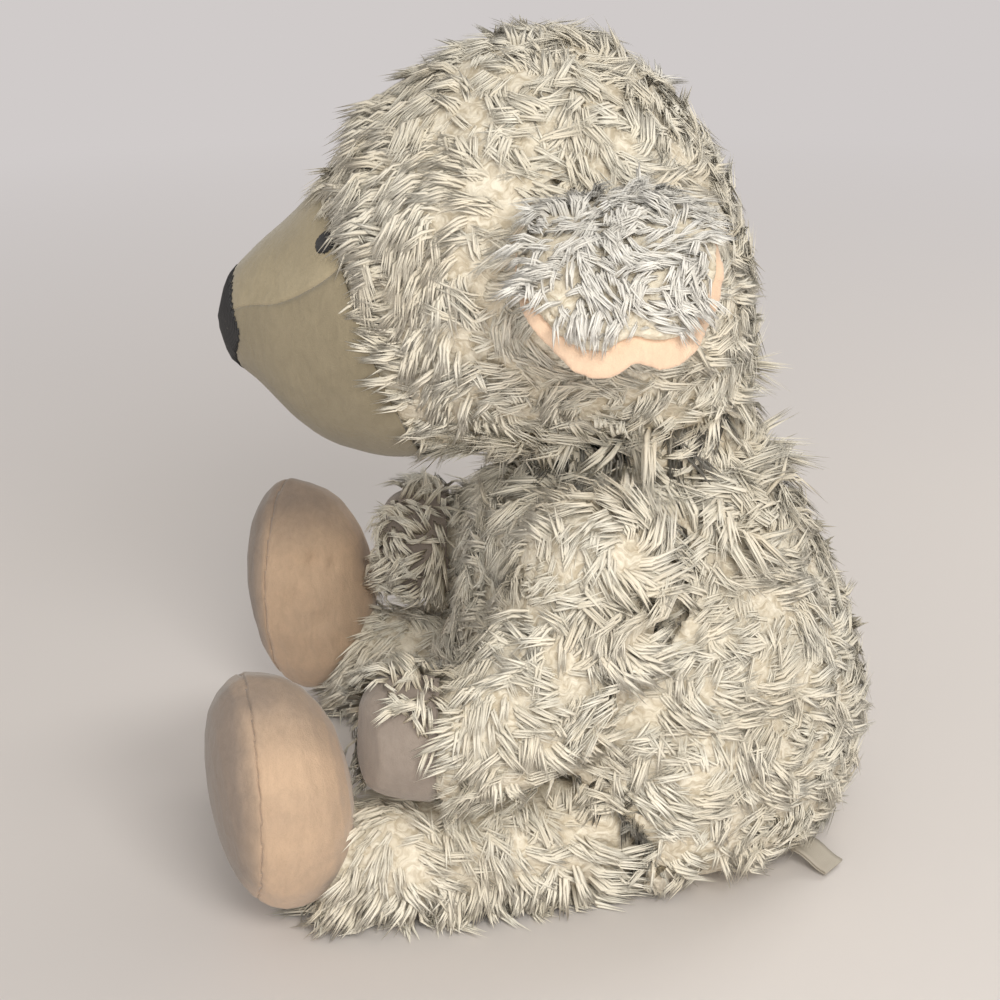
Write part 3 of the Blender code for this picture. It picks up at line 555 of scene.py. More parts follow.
# Curly pile: locks of flat blades set on a skin by one Geometry Nodes tree
def lock_mesh(name, seed):
    """A lock of blades, 1 long, that rises along +Z and lies over towards +X, curling to +Y."""
    draw = random.Random(seed)
    work = bmesh.new()
    along = work.verts.layers.float.new("along")
    across = work.verts.layers.float.new("across")
    curl = draw.uniform(0.16, 0.50)
    droop = draw.uniform(0.44, 0.66)
    lean = Vector((-0.4, 0, 1))
    for _ in range(BLADES_IN_LOCK):
        turn = draw.uniform(0, 2 * math.pi)
        root = Vector((math.cos(turn), math.sin(turn), 0)) * draw.uniform(0.02, 0.09)
        tip = root * 0.5 + Vector((draw.gauss(0, 0.03), draw.gauss(0, 0.035), draw.gauss(0, 0.02)))
        reach = draw.uniform(0.78, 1.08)
        radius = BLADE_WIDTH_SHARE * draw.uniform(0.75, 1.2)
        bend = curl + draw.uniform(-0.07, 0.07)
        wave = draw.uniform(-0.03, 0.03)

        def centre(t):
            line = Vector((0.34 * t + 0.44 * t * t,
                           bend * t * t + wave * math.sin(2 * math.pi * t),
                           0.90 * t - droop * t * t)) * reach
            return root * (1 - t) + tip * t + line

        rings = []
        for t, width in BLADE_RINGS:
            here = centre(t)
            way = (centre(t + 0.02) - here).normalized()
            above = (lean - way * way.dot(lean)).normalized()
            side = way.cross(above)
            ring = []
            for out, lift, place in ((-1, 0, 0), (1, 0, 1), (0, 2 * BLADE_FLATNESS, HALF)):
                vertex = work.verts.new(here + (side * out + above * lift) * (radius * width))
                vertex[along] = t
                vertex[across] = place
                ring.append(vertex)
            rings.append(ring)
        point = work.verts.new(centre(1))
        point[along] = 1
        point[across] = HALF
        bridge(work, rings)
        for corner in range(3):
            work.faces.new((rings[-1][corner], rings[-1][(corner + 1) % 3], point))
        work.faces.new(rings[0][::-1])
    return bpy.data.objects.new(name, mesh_of(work, name, True))


LOCKS = bpy.data.collections.new("locks")
for number in range(LOCK_SHAPES):
    LOCKS.objects.link(lock_mesh(f"lock_{number}", FIRST_LOCK_SEED + number))


def pile_tree():
    """The tree that sets locks on a skin, lays them in whorls and tufts and keeps them off the floor."""
    tree, kit, given = new_tree("curly pile", "GeometryNodeTree", (
        ("Skin", "Geometry"), ("Locks", "Collection"), ("Spacing", "Float", PILE_SPACING),
        ("Density", "Float", PILE_DENSITY), ("Length", "Float", PILE_LENGTH),
        ("Whorl size", "Float", WHORL_SIZE), ("Swirl", "Float", 0.9), ("Nap", "Float", 0.35),
        ("Tuft size", "Float", TUFT_SIZE), ("Gather", "Float", 0.4), ("Ruffle", "Float", 0.22),
        ("Floor", "Float", FLOOR_GAP), ("Seed", "Int"), ("Cloth", "Material"),
    ), (("Pile", "Geometry"),))
    spread = kit.add("GeometryNodeDistributePointsOnFaces", {
        "Mesh": given["Skin"], "Selection": kit.stored("sector", "BOOLEAN"),
        "Distance Min": given["Spacing"], "Density Max": given["Density"], "Seed": given["Seed"],
    }, distribute_method="POISSON")
    place = kit.add("GeometryNodeInputPosition")
    up = spread.outputs["Normal"]
    density = kit.maths("DIVIDE", 1.0, given["Whorl size"])
    cells = kit.add("TexVoronoi", {"Vector": place, "Scale": density, "Randomness": 0.75}).outputs
    out = kit.vectors("SUBTRACT", place, cells["Position"])
    above = kit.vectors("DOT_PRODUCT", out, up, result="Value")
    out = kit.vectors("NORMALIZE", kit.vectors("SUBTRACT", out, kit.scaled(up, above)))
    flow = kit.scaled(kit.vectors("CROSS_PRODUCT", up, out), given["Swirl"])
    flow = kit.moved(flow, kit.stored("nap", "FLOAT_VECTOR"), given["Nap"])
    wander = kit.noise(place, 130.0, 1.0, "Color")
    flow = kit.moved(flow, kit.vectors("SUBTRACT", wander, (HALF, HALF, HALF)), WANDER)
    density = kit.maths("DIVIDE", 1.0, given["Tuft size"])
    tufts = kit.add("TexVoronoi", {"Vector": place, "Scale": density}).outputs
    inward = kit.scaled(kit.vectors("SUBTRACT", tufts["Position"], place), density)
    flow = kit.moved(flow, inward, given["Gather"])
    turn = kit.add("FunctionNodeAlignRotationToVector", {"Vector": up}, axis="Z")
    turn = kit.add("FunctionNodeAlignRotationToVector", {"Rotation": turn, "Vector": flow},
                   axis="X", pivot_axis="Z")
    ruffle = kit.add("FunctionNodeRandomValue", {
        "Min": kit.scaled((-0.5, -0.8, -0.7), given["Ruffle"]),
        "Max": kit.scaled((0.5, 1.0, 0.7), given["Ruffle"]), "Seed": given["Seed"]}, data_type="FLOAT_VECTOR")
    turn = kit.add("FunctionNodeRotateRotation", {
        "Rotation": turn, "Rotate By": kit.add("FunctionNodeEulerToRotation", {"Euler": ruffle}),
    }, rotation_space="LOCAL")
    size = kit.add("FunctionNodeRandomValue", {2: LEAST_SIZE, 3: MOST_SIZE, "Seed": 7}, data_type="FLOAT")
    size = kit.times(size.outputs[1], kit.stored("tall", "FLOAT"))
    pick = kit.add("FunctionNodeRandomValue", {4: 0, 5: LOCK_SHAPES - 1, "Seed": 3}, data_type="INT")
    shapes = kit.add("GeometryNodeCollectionInfo", {
        "Collection": given["Locks"], "Separate Children": True, "Reset Children": True})
    grown = kit.add("GeometryNodeInstanceOnPoints", {
        "Points": spread, "Instance": shapes, "Pick Instance": True, "Instance Index": pick.outputs[2],
        "Rotation": turn, "Scale": kit.times(size, given["Length"])})
    tint = kit.add("FunctionNodeRandomValue", {"Seed": 11}, data_type="FLOAT").outputs[1]
    shade = kit.add("FunctionNodeSeparateColor", {"Color": tufts["Color"]}).outputs[0]
    tint = kit.plus(kit.times(tint, 0.4), kit.times(shade, 0.6))
    axes = kit.add("SeparateXYZ", {"Vector": up}).outputs
    lie = kit.joined(axes["X"], axes["Y"], kit.maths("MAXIMUM", axes["Z"], LEAST_RISE))
    for name, value, kind in (("tint", tint, "FLOAT"), ("lie", lie, "FLOAT_VECTOR")):
        grown = kit.add("GeometryNodeStoreNamedAttribute", {"Geometry": grown, "Name": name, "Value": value},
                        data_type=kind, domain="INSTANCE")
    real = kit.add("GeometryNodeRealizeInstances", {"Geometry": grown})
    here = kit.add("SeparateXYZ", {"Vector": place}).outputs
    below = kit.maths("MAXIMUM", kit.maths("SUBTRACT", given["Floor"], here["Z"]), 0.0)
    away = kit.vectors("MULTIPLY", kit.stored("lie", "FLOAT_VECTOR"), (1.0, 1.0, 0.0))
    height = kit.plus(kit.maths("MAXIMUM", here["Z"], given["Floor"]), kit.times(below, FLOOR_SQUASH))
    lifted = kit.moved(kit.joined(here["X"], here["Y"], height), away, below)
    laid = kit.add("GeometryNodeSetPosition", {"Geometry": real, "Position": lifted})
    kit.add("NodeGroupOutput", {
        "Pile": kit.add("GeometryNodeSetMaterial", {"Geometry": laid, "Material": given["Cloth"]})})
    return tree


PILE_TREE = pile_tree()


def grow(name, body, skin_mesh, sectors, material, **sizes):
    """Pile on a skin, as one plain piece for each sector round the skin's upright middle."""
    places = places_of(skin_mesh)
    middle = (places.min(0) + places.max(0)) * HALF
    pile = skin_mesh.attributes["pile"].data
    turns = []
    for face in skin_mesh.polygons:
        away = face.center - Vector(middle)
        turn = int((math.atan2(away.y, away.x) / (2 * math.pi) + HALF) * sectors) % sectors
        turns.append(turn if all(pile[corner].value > HALF for corner in face.vertices) else -1)
    for number in range(sectors):
        mesh = skin_mesh.copy()
        flag = mesh.attributes.new("sector", "BOOLEAN", "FACE")
        flag.data.foreach_set("value", [turn == number for turn in turns])
        ground = new_object("ground", mesh)
        step = ground.modifiers.new("pile", "NODES")
        step.node_group = PILE_TREE
        wanted = {"Locks": LOCKS, "Cloth": material, "Seed": number + len(name), **sizes}
        for item in PILE_TREE.interface.items_tree:
            if item.in_out == "INPUT" and item.name in wanted:
                step[item.identifier] = wanted[item.name]
        grown = new_object(f"{name}_{number}" if sectors > 1 else name, baked(ground), material)
        remove(ground)
        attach(grown, body)


def nearness(mesh, names, reach):
    """How near each point is to the named nodes: 1 where it touches and 0 from reach on."""
    wanted = tree_of(names)
    found = [wanted.find_nearest(Vector(place), reach)[3] for place in places_of(mesh)]
    return np.array([0.0 if away is None else 1 - away / reach for away in found])


def put_attribute(mesh, name, kind, values):
    made = mesh.attributes.new(name, kind, "POINT")
    made.data.foreach_set("vector" if kind == "FLOAT_VECTOR" else "value", np.asarray(values, float).ravel())


def mark_pile(mesh, pile, tall, nap):
    """Where the pile is, how tall and which way it lies, for the tree that grows it."""
    put_attribute(mesh, "pile", "FLOAT", pile)
    put_attribute(mesh, "tall", "FLOAT", tall)
    put_attribute(mesh, "nap", "FLOAT_VECTOR", nap)


def covered(places, normals, names, reach):
    """Whether each point lies under one of the named nodes."""
    wanted = tree_of(names)
    return np.array([wanted.ray_cast(Vector(place), Vector(normal), reach)[0] is not None
                     for place, normal in zip(places, normals)])


def fur_skin(mesh, furry, smooth, depth, nap, shorter, long=None, under=None):
    """Marks where the skin has pile, how tall it is and which way it lies, and sinks it there."""
    places, normals = places_of(mesh), normals_of(mesh)
    pile = (normals[:, 2] > SEAT_FACING) | (places[:, 2] > SEAT_TOP)
    hidden = covered(places, normals, furry + smooth, COVER_REACH)
    tall = 1 - shorter * nearness(mesh, furry + smooth, NEAR)
    if under:
        tall[hidden] = under
    else:
        pile &= ~hidden
    if smooth:
        pile &= nearness(mesh, smooth, NEAR) < 1 - SEAM_ROOM / NEAR
    if long is not None:
        tall *= long(places)
    mark_pile(mesh, pile, tall, nap(places, normals))
    put_places(mesh, places - normals * (depth * neighbour_mean(mesh, pile.astype(float), 3))[:, None])
    return mesh


def backing(name, body, mesh, replaced, under=UNDER_PILE):
    """The ground cloth with the short under-pile that fills the foot of the locks."""
    mesh = mesh.copy()
    pile = np.zeros(len(mesh.vertices))
    mesh.attributes["pile"].data.foreach_get("value", pile)
    thick = under * neighbour_mean(mesh, pile, 3)
    put_places(mesh, places_of(mesh) + normals_of(mesh) * thick[:, None])
    dress(new_object(name, mesh), BACKING, body, replaced)


def ramped(values, run):
    """0 for values under nought, 1 from the run on and a slope between them."""
    return np.clip(values / run, 0, 1)


def near_floor(places):
    """1 on the floor and 0 from a little above it."""
    return ramped(0.028 - places[:, 2], 0.015)


def near_join(places, back):
    """1 where a limb meets the torso behind and 0 further forward."""
    return ramped(places[:, 1] - back + 0.030, 0.012)


def near_nape(places):
    """1 low on the head and 0 further up."""
    return ramped(0.170 - places[:, 2], 0.015)


def towards(edge, side=0.0, back=1.0):
    """Forward and down, most strongly so before an edge that the pile goes on over, and back at the join."""
    def lie(places, normals):
        front = ramped(edge + 0.018 - places[:, 1], 0.010)
        join = near_join(places, back)
        return np.stack([0 * front, 4.0 * join - 0.7 - 3.5 * front,
                         0.7 * join - 0.7 - 1.2 * front - 2.5 * (near_floor(places) * side)], 1)
    return lie


def direction(x, y, z):
    """The same lie of the pile all over."""
    return lambda places, normals: np.tile((x, y, z), (len(places), 1))


LIMBS = [f"{kind}_{side}" for kind in ("arm_cover", "leg_cover") for _, side in SIDES]
ENDS = [f"{kind}_{side}" for kind in ("hand", "foot_upper") for _, side in SIDES]


def torso_nap(places, normals):
    """Down the sides, but up and out round the neck."""
    rise = ramped(places[:, 2] - 0.118, 0.015)
    return np.stack([normals[:, 0] * rise, normals[:, 1] * rise, 2.4 * rise - 1], 1)


def collar(places):
    """The pile is longer round the neck, and most of all behind it."""
    behind = ramped(places[:, 1] + 0.03, 0.02)
    return 1 + (0.45 + 0.35 * behind) * ramped(places[:, 2] - 0.125, 0.015)


def make_torso():
    solids = ["torso_cover", "torso_stuffing", "seat_pellet_bag"]
    mesh = fur_skin(skin(solids, BIG_VOXEL, 6), LIMBS, ENDS, PILE_DEPTH, torso_nap, 0.1, collar, under=0.85)
    backing("torso_backing", "torso", mesh, solids)
    grow("torso_pile", "torso", mesh, 5, PILE)


def make_neck():
    mesh = skin(["neck_stuffing"], BIG_VOXEL, 3, 0.003)
    fur_skin(mesh, ["head_cover"], [], 0.002, direction(0, 0, -0.6), 0.0)
    backing("neck_backing", "neck", mesh, ["neck_stuffing"], 0.001)
    grow("neck_pile", "neck", mesh, 1, PILE, Length=NECK_PILE_LENGTH)


def head_nap(places, normals):
    """Down the back, forward over the brow and the edges of the muzzle."""
    front = ramped(-0.055 - places[:, 1], 0.02)
    nape = near_nape(places) * (1 - front)
    return np.stack([1.8 * nape * normals[:, 0], -0.35 - 4.5 * front + 1.8 * nape * normals[:, 1],
                     -0.8 - 0.4 * front - 2.4 * nape], 1)


def brow(places):
    """The pile is longer over the brow and at the nape, and short beside the eyes."""
    over = ramped(places[:, 2] - 0.215, 0.02) * ramped(-0.07 - places[:, 1], 0.02)
    nape = near_nape(places) * ramped(places[:, 1] + 0.06, 0.02)
    tall = 1 + 0.3 * over + 0.8 * nape
    for _, name in SIDES:
        away = np.linalg.norm(places - np.array(middle_of(f"eye_embroidery_{name}")), axis=1)
        tall *= 1 - 0.5 * ramped(0.017 - away, 0.007)
    return tall


def make_head():
    solids = ["head_cover", "head_stuffing"]
    panels = ["muzzle_top_panel", "muzzle_side_panel_left", "muzzle_side_panel_right"]
    mesh = fur_skin(skin(solids, BIG_VOXEL, 6), [], panels, PILE_DEPTH, head_nap, 0.1, brow)
    backing("head_backing", "head", mesh, solids)
    grow("head_pile", "head", mesh, 5, PILE)


def hem(back):
    """The pile is longer where it lies on the floor and where the limb meets the torso behind."""
    def long(places):
        return 1 + np.maximum(0.4 * near_floor(places), 0.35 * near_join(places, back))
    return long


def trimmed(low):
    """The pile is shorter over the ear's low edge, where the lining shows."""
    return lambda places: 1 - 0.5 * ramped(low + 0.016 - places[:, 2], 0.010)


def make_limbs():
    kinds = (("arm", ["hand"], 0.1, 2, {}), ("leg", ["foot_upper", "foot_sole"], 0.0, 1, {"Nap": 0.7}))
    for _, name in SIDES:
        for kind, ends, shorter, sectors, sizes in kinds:
            body = f"{kind}_{name}"
            solids = [f"{kind}_cover_{name}", f"{kind}_stuffing_{name}"]
            ends = [f"{end}_{name}" for end in ends]
            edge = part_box(ends[0])[1].y
            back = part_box(solids[0])[1].y
            lie = towards(edge) if kind == "arm" else towards(edge, 1.0, back)
            mesh = fur_skin(skin(solids, LIMB_VOXEL, 6), ["torso_cover"], ends, PILE_DEPTH, lie, shorter,
                            hem(back))
            backing(f"{kind}_backing_{name}", body, mesh, solids)
            grow(f"{kind}_pile_{name}", body, mesh, sectors, PILE, **sizes)


def make_ears():
    for side, name in SIDES:
        body, back, lining = f"ear_{name}", f"ear_back_{name}", f"ear_lining_{name}"
        mesh = fur_skin(skin([back], EAR_VOXEL, 6), [], [lining], EAR_PILE_DEPTH,
                        direction(0.5 * side, 0.0, -1.2), 0.0, trimmed(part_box(back)[0].z))
        backing(f"ear_back_backing_{name}", body, mesh, [back], 0.0014)
        grow(f"ear_pile_{name}", body, mesh, 1, EAR_PILE, Length=EAR_PILE_LENGTH, Nap=0.8,
             Spacing=EAR_PILE_SPACING)
        made = new_object(f"ear_lining_velour_{name}", skin([lining], LINING_VOXEL, 14, 0.0003))
        dress(made, LINING_VELOUR, body, [lining])


# Smooth pieces
def between(rows, steps):
    """The rows with Catmull-Rom rows between them."""
    rows = np.array(rows, float)
    last = len(rows) - 1
    found = []
    for index in range(last):
        a, b, c, d = rows[max(index - 1, 0)], rows[index], rows[index + 1], rows[min(index + 2, last)]
        for step in range(steps):
            t = step / steps
            found.append(HALF * (2 * b + (c - a) * t + (2 * a - 5 * b + 4 * c - d) * t ** 2
                                 + (3 * b - a - 3 * c + d) * t ** 3))
    found.append(rows[last])
    return found


MUZZLE_ROWS = between(MUZZLE_SHARES, 8)


def muzzle_point(row, angle, depth=0.0):
    """A point on the muzzle, at an angle from its top line, sunk by a depth."""
    way, rise, width, height, share = MUZZLE_ROWS[row]
    lean = FACE_LEAN * share
    up = Vector((0, -math.sin(lean), math.cos(lean)))
    centre = FACE_CENTRE + Vector((0, -way * MUZZLE_LENGTH, rise * MUZZLE_HEIGHT))
    half_width = max(width * MUZZLE_WIDTH * HALF - depth, 0)
    half_height = max(height * MUZZLE_HEIGHT * HALF - depth, 0)
    return centre + Vector((half_width * math.sin(angle), 0, 0)) + up * (half_height * math.cos(angle))


def panel_wall(work, columns, first, last, layer):
    """One side of a muzzle panel's wall as rows of corners, its edges drawn in at the seams."""
    rows = len(MUZZLE_ROWS)
    grid = []
    for row in range(rows - 3):
        share = row / (rows - 1)
        seam = math.pi * HALF * (SEAM_SHARES[0] + (SEAM_SHARES[1] - SEAM_SHARES[0]) * share)
        start = first * seam if first else -math.pi
        end = last * seam if last else math.pi
        size = max(MUZZLE_ROWS[row][2] * MUZZLE_WIDTH * HALF, 0.001)
        line = []
        for column in range(columns + 1):
            angle = start + (end - start) * column / columns
            edge = min(column, columns - column) / columns * abs(end - start)
            sink = SEAM_DEPTH * math.exp(-(edge * size / SEAM_WIDTH) ** 2)
            sink -= SEAM_DEPTH * math.exp(-(edge * size / SEAM_SWELL) ** 2)
            place = muzzle_point(row, angle, sink + layer * VELOUR_THICKNESS)
            if layer == 0:
                wrinkle = noise.noise(place * 55) * 0.0006 + noise.noise(place * 140) * 0.00025
                place += (place - FACE_CENTRE).normalized() * wrinkle
            line.append(work.verts.new(place))
        grid.append(line)
    return grid


def make_muzzle(columns=40):
    whole = []
    for name, start, end, material in (
        ("muzzle_top_panel", -1, 1, BRIDGE_VELOUR),
        ("muzzle_side_panel_left", 1, None, MUZZLE_VELOUR),
        ("muzzle_side_panel_right", None, -1, MUZZLE_VELOUR),
    ):
        work = bmesh.new()
        top, bottom = [panel_wall(work, columns, start, end, layer) for layer in (0, 1)]
        bridge(work, top, closed=False)
        bridge(work, bottom, closed=False, flipped=True)
        bridge(work, [rim_of(top), rim_of(bottom)])
        whole.append(mesh_of(work, name, True))
        dress(new_object(f"{name}_velour", whole[-1]), material, "head", [name])
    return whole


def muzzle_tip(columns=24):
    """The muzzle's end under the nose, which only carries the stitches' lie."""
    work = bmesh.new()
    rows = range(len(MUZZLE_ROWS) - 5, len(MUZZLE_ROWS))
    turns = [2 * math.pi * column / columns for column in range(columns)]
    bridge(work, [[work.verts.new(muzzle_point(row, turn)) for turn in turns] for row in rows])
    return mesh_of(work, "muzzle_tip")


def tube(work, line, radius, sides=6):
    """A closed tube with rounded ends along a line of points."""
    rings = []
    last = len(line) - 1
    for index, place in enumerate(line):
        way = (line[min(index + 1, last)] - line[max(index - 1, 0)]).normalized()
        out = way.orthogonal().normalized()
        wide = radius * (0.45 if index in (0, last) else 1)
        turns = [2 * math.pi * corner / sides for corner in range(sides)]
        rings.append([work.verts.new(place + Matrix.Rotation(turn, 3, way) @ out * wide) for turn in turns])
    for low, high in zip(rings, rings[1:]):
        nearest = min(range(sides), key=lambda turn: (low[0].co - high[turn].co).length)
        high[:] = high[nearest:] + high[:nearest]
    bridge(work, rings)
    work.faces.new(rings[0][::-1])
    work.faces.new(rings[-1])


def embroidery(name, surface, middle, front, up, half_width, half_height, threads, pad, outline, node):
    """Satin stitches side by side over a raised pad, laid on the velour."""
    draw = random.Random(len(name))
    across = up.cross(front).normalized()
    work = bmesh.new()
    for number in range(threads):
        u = 2 * (number + HALF) / threads - 1
        top, bottom = outline(u)
        top += draw.uniform(-0.05, 0.05)
        bottom += draw.uniform(-0.05, 0.05)
        line = []
        for step in range(STITCH_STEPS + 1):
            v = bottom + (top - bottom) * step / STITCH_STEPS
            place = middle + across * (u * half_width) + up * (v * half_height)
            hit, normal, _, _ = surface.ray_cast(place + front * 0.05, -front)
            if hit is None:
                hit, normal, _, _ = surface.find_nearest(place)
            if normal.dot(front) < 0:
                normal = -normal
            dome = max(1 - abs(u) ** 2.4, 0) * max(1 - abs(2 * step / STITCH_STEPS - 1) ** 3, 0)
            line.append(hit + normal * (0.00015 + pad * dome))
        tube(work, line, half_width / threads * 1.25)
    made = new_object(name, mesh_of(work, name, True), BLACK_THREAD)
    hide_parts(node)
    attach(made, "head")


def nose_outline(u):
    """How far up and down the leaf-shaped nose reaches."""
    wide = max(1 - abs(u) ** 1.7, 0) ** 0.72
    return 0.98 * wide, -1.02 * wide


def eye_outline(u):
    return (1 - abs(u) ** 1.6) ** 0.8, -0.8 * math.sqrt(max(1 - u * u, 0))


def make_embroidery(meshes):
    tip = muzzle_tip()
    surface = bvh([*meshes, tip])
    bpy.data.meshes.remove(tip)
    low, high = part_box("nose_embroidery")
    front = Vector((0, -math.cos(NOSE_TILT), math.sin(NOSE_TILT)))
    up = Vector((0, math.sin(NOSE_TILT), math.cos(NOSE_TILT)))
    embroidery("nose_stitches", surface, middle_of("nose_embroidery"), front, up, HALF * (high.x - low.x),
               HALF * (high.z - low.z), 46, 0.0011, nose_outline, "nose_embroidery")
    for _, name in SIDES:
        hit, normal, _, _ = surface.find_nearest(middle_of(f"eye_embroidery_{name}"))
        up = (UP - normal * normal.z).normalized()
        embroidery(f"eye_stitches_{name}", surface, hit, normal, up, 0.0037, 0.0053, 15, 0.0004, eye_outline,
                   f"eye_embroidery_{name}")


def ring_mean(radii):
    """The mean of each value's four neighbours, round the pole and along it."""
    beside = np.roll(radii, 1, 1) + np.roll(radii, -1, 1)
    along = np.vstack([radii[:1], radii[:-1]]) + np.vstack([radii[1:], radii[-1:]])
    return (beside + along) / 4


def round_shell(names, middle, pole, rows, columns):
    """Outer surface of the named nodes, seen from a middle point, as rows of points round a pole."""
    solid = tree_of(names)
    across = pole.orthogonal().normalized()
    up = pole.cross(across)
    ways, radii = [], []
    for row in range(rows + 1):
        tilt = math.pi * row / rows
        for column in range(columns):
            turn = 2 * math.pi * column / columns
            way = pole * math.cos(tilt) + (across * math.cos(turn) + up * math.sin(turn)) * math.sin(tilt)
            hit, normal, _, distance = solid.ray_cast(middle + way * RAY_START, -way)
            fine = hit is not None and normal.dot(way) > 0.05 and RAY_START - distance > 0.008
            ways.append(tuple(way))
            radii.append(RAY_START - distance if fine else 0.0)
    radii = np.array(radii).reshape(rows + 1, columns)
    good = radii > 0
    known = radii.copy()
    radii[~good] = radii[good].mean()
    for _ in range(FILL_ROUNDS):
        radii = np.where(good, known, ring_mean(radii))
    for _ in range(3):
        radii = HALF * (radii + ring_mean(radii))
    radii[0] = radii[0].mean()
    radii[-1] = radii[-1].mean()
    return np.array(middle) + np.array(ways).reshape(rows + 1, columns, 3) * radii[:, :, None]


def walled(made, thickness, offset):
    """The sheet with a thickness."""
    wall = made.modifiers.new("wall", "SOLIDIFY")
    wall.thickness = thickness
    wall.offset = offset
    made.data = baked(made)
    made.data.shade_smooth()
    return made


def shell_mesh(name, grid, keep, thickness=0.003):
    """A closed wall under the kept part of a grid of points that goes round a pole."""
    work = bmesh.new()
    bridge(work, [[work.verts.new(tuple(place)) for place in row] for row in grid], keep=keep)
    bmesh.ops.delete(work, geom=[vertex for vertex in work.verts if not vertex.link_faces], context="VERTS")
    bmesh.ops.remove_doubles(work, verts=work.verts, dist=MERGE_DISTANCE)
    bmesh.ops.recalc_face_normals(work, faces=work.faces)
    middle = sum((vertex.co for vertex in work.verts), Vector()) / len(work.verts)
    if sum(face.normal.dot(face.calc_center_median() - middle) for face in work.faces) < 0:
        bmesh.ops.reverse_faces(work, faces=work.faces)
    return walled(new_object(name, mesh_of(work, name)), thickness, -1)


def bell(away, width):
    return np.exp(-(away / width) ** 2)


def make_feet():
    for side, name in SIDES:
        parts = [f"foot_upper_{name}", f"foot_sole_{name}"]
        lows, highs = zip(*map(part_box, parts))
        middle = (Vector(map(min, *lows)) + Vector(map(max, *highs))) * HALF
        forward = Vector((side * math.sin(LEG_SPLAY), -math.cos(LEG_SPLAY), 0))
        grid = round_shell(parts, middle, forward, 150, 110)
        tip = max((Vector(place) for place in grid.reshape(-1, 3)), key=lambda place: place.dot(forward))
        seam = tip.dot(forward) - SOLE_DEPTH
        axis = np.array(forward)
        away = grid @ axis - seam
        out = grid - np.array(middle)
        out -= (out @ axis)[:, :, None] * axis
        out /= np.maximum(np.linalg.norm(out, axis=2), 0.001)[:, :, None]
        ridge = 0.0007 * bell(away, 0.0035) - 0.0006 * bell(away, 0.0006)
        lumps = np.array([noise.noise(Vector(place) * 42 + Vector((side * 3, 0, 0))) * 0.0011
                          + noise.noise(Vector(place) * 110) * 0.00035 for place in grid.reshape(-1, 3)])
        grid = grid + out * (ridge + lumps.reshape(away.shape))[:, :, None]
        if side < 0:
            grid = dented(grid, middle)
        for part, keep in (("upper", lambda place: place.dot(forward) < seam),
                           ("sole", lambda place: place.dot(forward) >= seam)):
            made = shell_mesh(f"foot_{part}_velour_{name}", grid, keep)
            places = places_of(made.data)
            # Painted shade: the velour is drawn towards its shaded colour high on the foot (up to 0.65), and
            # over the sole from a quarter at the seam to full shade 7.5 mm forward of it
            rise = ramped(places[:, 2] - 0.074, 0.018)
            painted_sole_shade = np.clip(0.25 + (places @ axis - seam) / 0.010, 0, 1) if part == "sole" else 0.0
            put_attribute(made.data, "shade", "FLOAT", np.maximum(rise * 0.65, painted_sole_shade))
            dress(made, FOOT_VELOUR, f"leg_{name}", [f"foot_{part}_{name}"])


def cuff(name, body, mesh, wanted, lie):
    """Pile on the outside of the wanted part of a velour piece."""
    ground = mesh.copy()
    places, normals = places_of(ground), normals_of(ground)
    outside = ((places - places.mean(0)) * normals).sum(1) > 0
    wanted = wanted(places, normals) & outside & (normals[:, 2] > -0.8)
    mark_pile(ground, wanted, np.ones(len(places)), np.tile(lie, (len(places), 1)))
    grow(name, body, ground, 1, PILE, Length=WRIST_PILE_LENGTH, Nap=0.8)


def dented(grid, middle):
    """The right foot's creases and two small dimples, on the side that faces the left foot."""
    for height, back, depth, size in DENTS:
        spot = np.array(middle) + np.array((0.024, back, height))
        near = np.linalg.norm((grid - spot) * (0.6, 1, 1), axis=2)
        grid = grid - np.array((1, 0, 0)) * (depth * bell(near, size))[:, :, None]
    return grid


def make_hands():
    for side, name in SIDES:
        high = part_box(f"hand_{name}")[1]
        middle = middle_of(f"hand_{name}") + Vector((0, 0.004, 0))
        grid = round_shell([f"hand_{name}"], middle, Vector((0, -1, 0)), 70, 90)
        made = shell_mesh(f"hand_velour_{name}", grid, lambda place: place.y < high.y - 0.002)
        dress(made, HAND_VELOUR, f"arm_{name}", [f"hand_{name}"])

        def sleeve(places, normals, side=side):
            """The inner side and the top behind: there the arm's pile goes on over the hand."""
            behind = places[:, 2] > 0.106 - 1.2 * (places[:, 1] + 0.101)
            return behind | (normals[:, 0] * side < -0.15)

        cuff(f"wrist_pile_{name}", f"arm_{name}", made.data, sleeve, (0, -0.6, -0.8))


def make_label():
    """A short ribbon folded in two, bare on both faces."""
    width, length, gap, leaf, sag = 0.012, 0.015, 0.0009, 0.0003, 0.0006
    turn, drop = math.radians(36), math.radians(20)
    out = Vector((math.sin(turn), math.cos(turn), 0))
    along = out * math.cos(drop) - UP * math.sin(drop)
    across = out.cross(UP)
    above = across.cross(along)
    middle = middle_of("care_label") - along * (length * HALF) - above * (gap * HALF)
    leaf_line = [(length * step / 8, sag * math.sin(step * 0.7)) for step in range(9)]
    bends = [math.pi * step / 8 for step in range(1, 8)]
    outline = leaf_line + [(length + gap * HALF * math.sin(bend),
                            gap * HALF * (1 - math.cos(bend)) + leaf_line[-1][1]) for bend in bends]
    outline += [(x, gap + y) for x, y in leaf_line[::-1]]
    work = bmesh.new()
    shares = [column / 6 - HALF for column in range(7)]
    bridge(work, [[work.verts.new(middle + along * x + above * (y + 0.0008 * v * v * x / length)
                                  + across * (v * width)) for v in shares] for x, y in outline], closed=False)
    made = walled(new_object("bare_ribbon_label", mesh_of(work, "label"), RIBBON), leaf, 0)
    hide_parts("care_label")
    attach(made, "torso")


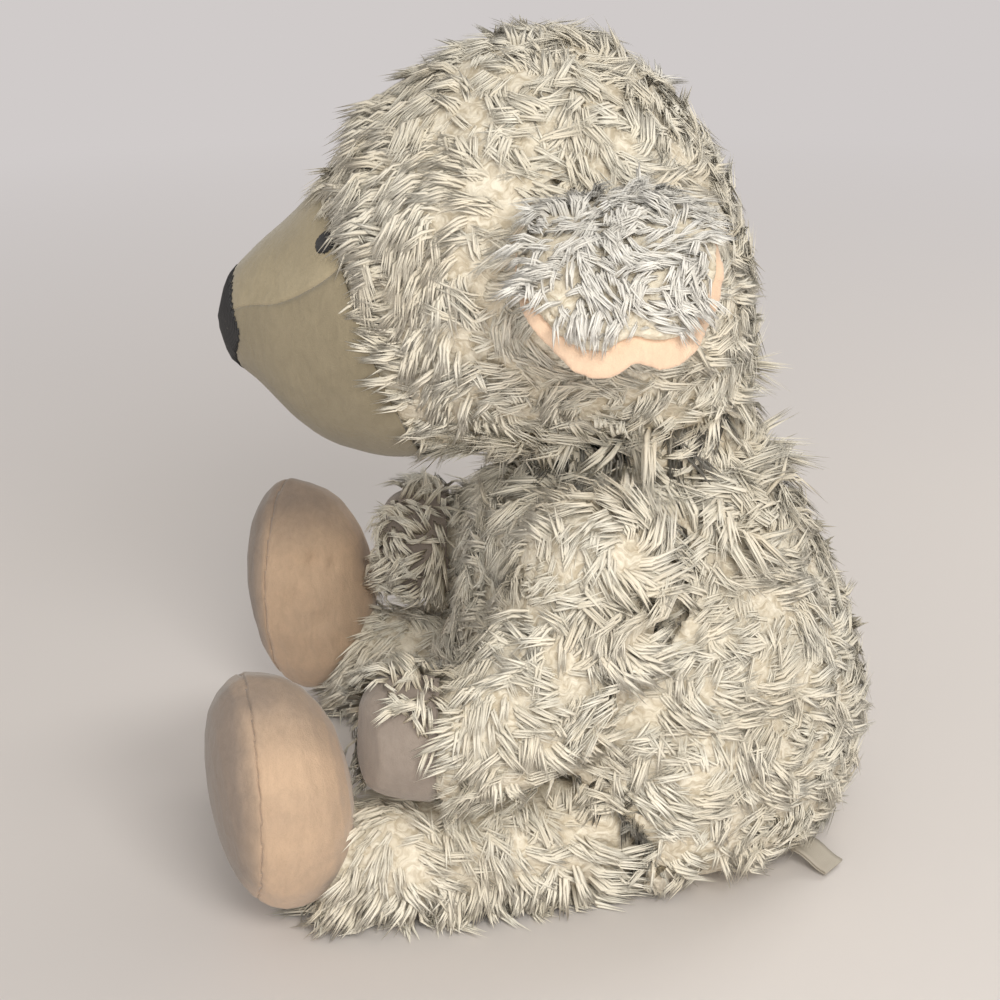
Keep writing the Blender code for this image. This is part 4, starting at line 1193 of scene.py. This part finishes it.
# Surroundings
def add_light(name, place, target, size, power):
    lamp = bpy.data.lights.new(name, "AREA")
    lamp.shape = "SQUARE"
    lamp.size = size
    lamp.energy = power
    lamp.color = WARM
    made = new_object(name, lamp)
    made.location = place
    made.rotation_euler = (Vector(target) - Vector(place)).to_track_quat("-Z", "Y").to_euler()


def make_world(backdrop):
    """Soft light all round, behind which the camera sees the plain backdrop."""
    world = bpy.data.worlds.new("studio")
    bpy.context.scene.world = world
    world.use_nodes = True
    world.node_tree.nodes.clear()
    kit = Nodes(world.node_tree)
    rays = kit.add("LightPath").outputs
    seen = kit.maths("MAXIMUM", rays["Is Glossy Ray"], rays["Is Transmission Ray"])
    seen = kit.maths("MAXIMUM", rays["Is Camera Ray"], seen)
    soft = kit.add("Background", {"Color": (1, 0.97, 0.93, 1), "Strength": 0.44})
    pale = kit.add("Background", {"Color": backdrop, "Strength": 1.0})
    kit.add("OutputWorld", {"Surface": kit.add("MixShader", {0: seen, 1: soft, 2: pale})})


def make_surroundings():
    backdrop = tone(208, 203, 202)
    mesh = bpy.data.meshes.new("floor")
    corners = [(x * FLOOR_REACH, y * FLOOR_REACH, 0) for x, y in ((-1, -1), (1, -1), (1, 1), (-1, 1))]
    mesh.from_pydata(corners, [], [(0, 1, 2, 3)])
    new_object("floor", mesh, floor_material("pale_floor", tone(226, 221, 219), backdrop))
    make_world(backdrop)
    for light in LIGHTS:
        add_light(*light)
    view = bpy.data.cameras.new("camera")
    view.lens = CAMERA_LENS
    view.sensor_width = 36
    camera = new_object("camera", view)
    away = Vector((math.cos(CAMERA_RISE), 0, math.sin(CAMERA_RISE)))
    camera.location = CAMERA_TARGET + away * CAMERA_DISTANCE
    camera.rotation_euler = (-away).to_track_quat("-Z", "Y").to_euler()
    bpy.context.scene.camera = camera
    bpy.context.scene.view_settings.view_transform = "Standard"


make_surroundings()
make_torso()
make_neck()
make_head()
make_limbs()
make_ears()
make_embroidery(make_muzzle())
make_feet()
make_hands()
make_label()

for lock in list(LOCKS.objects):
    remove(lock)
bpy.data.collections.remove(LOCKS)
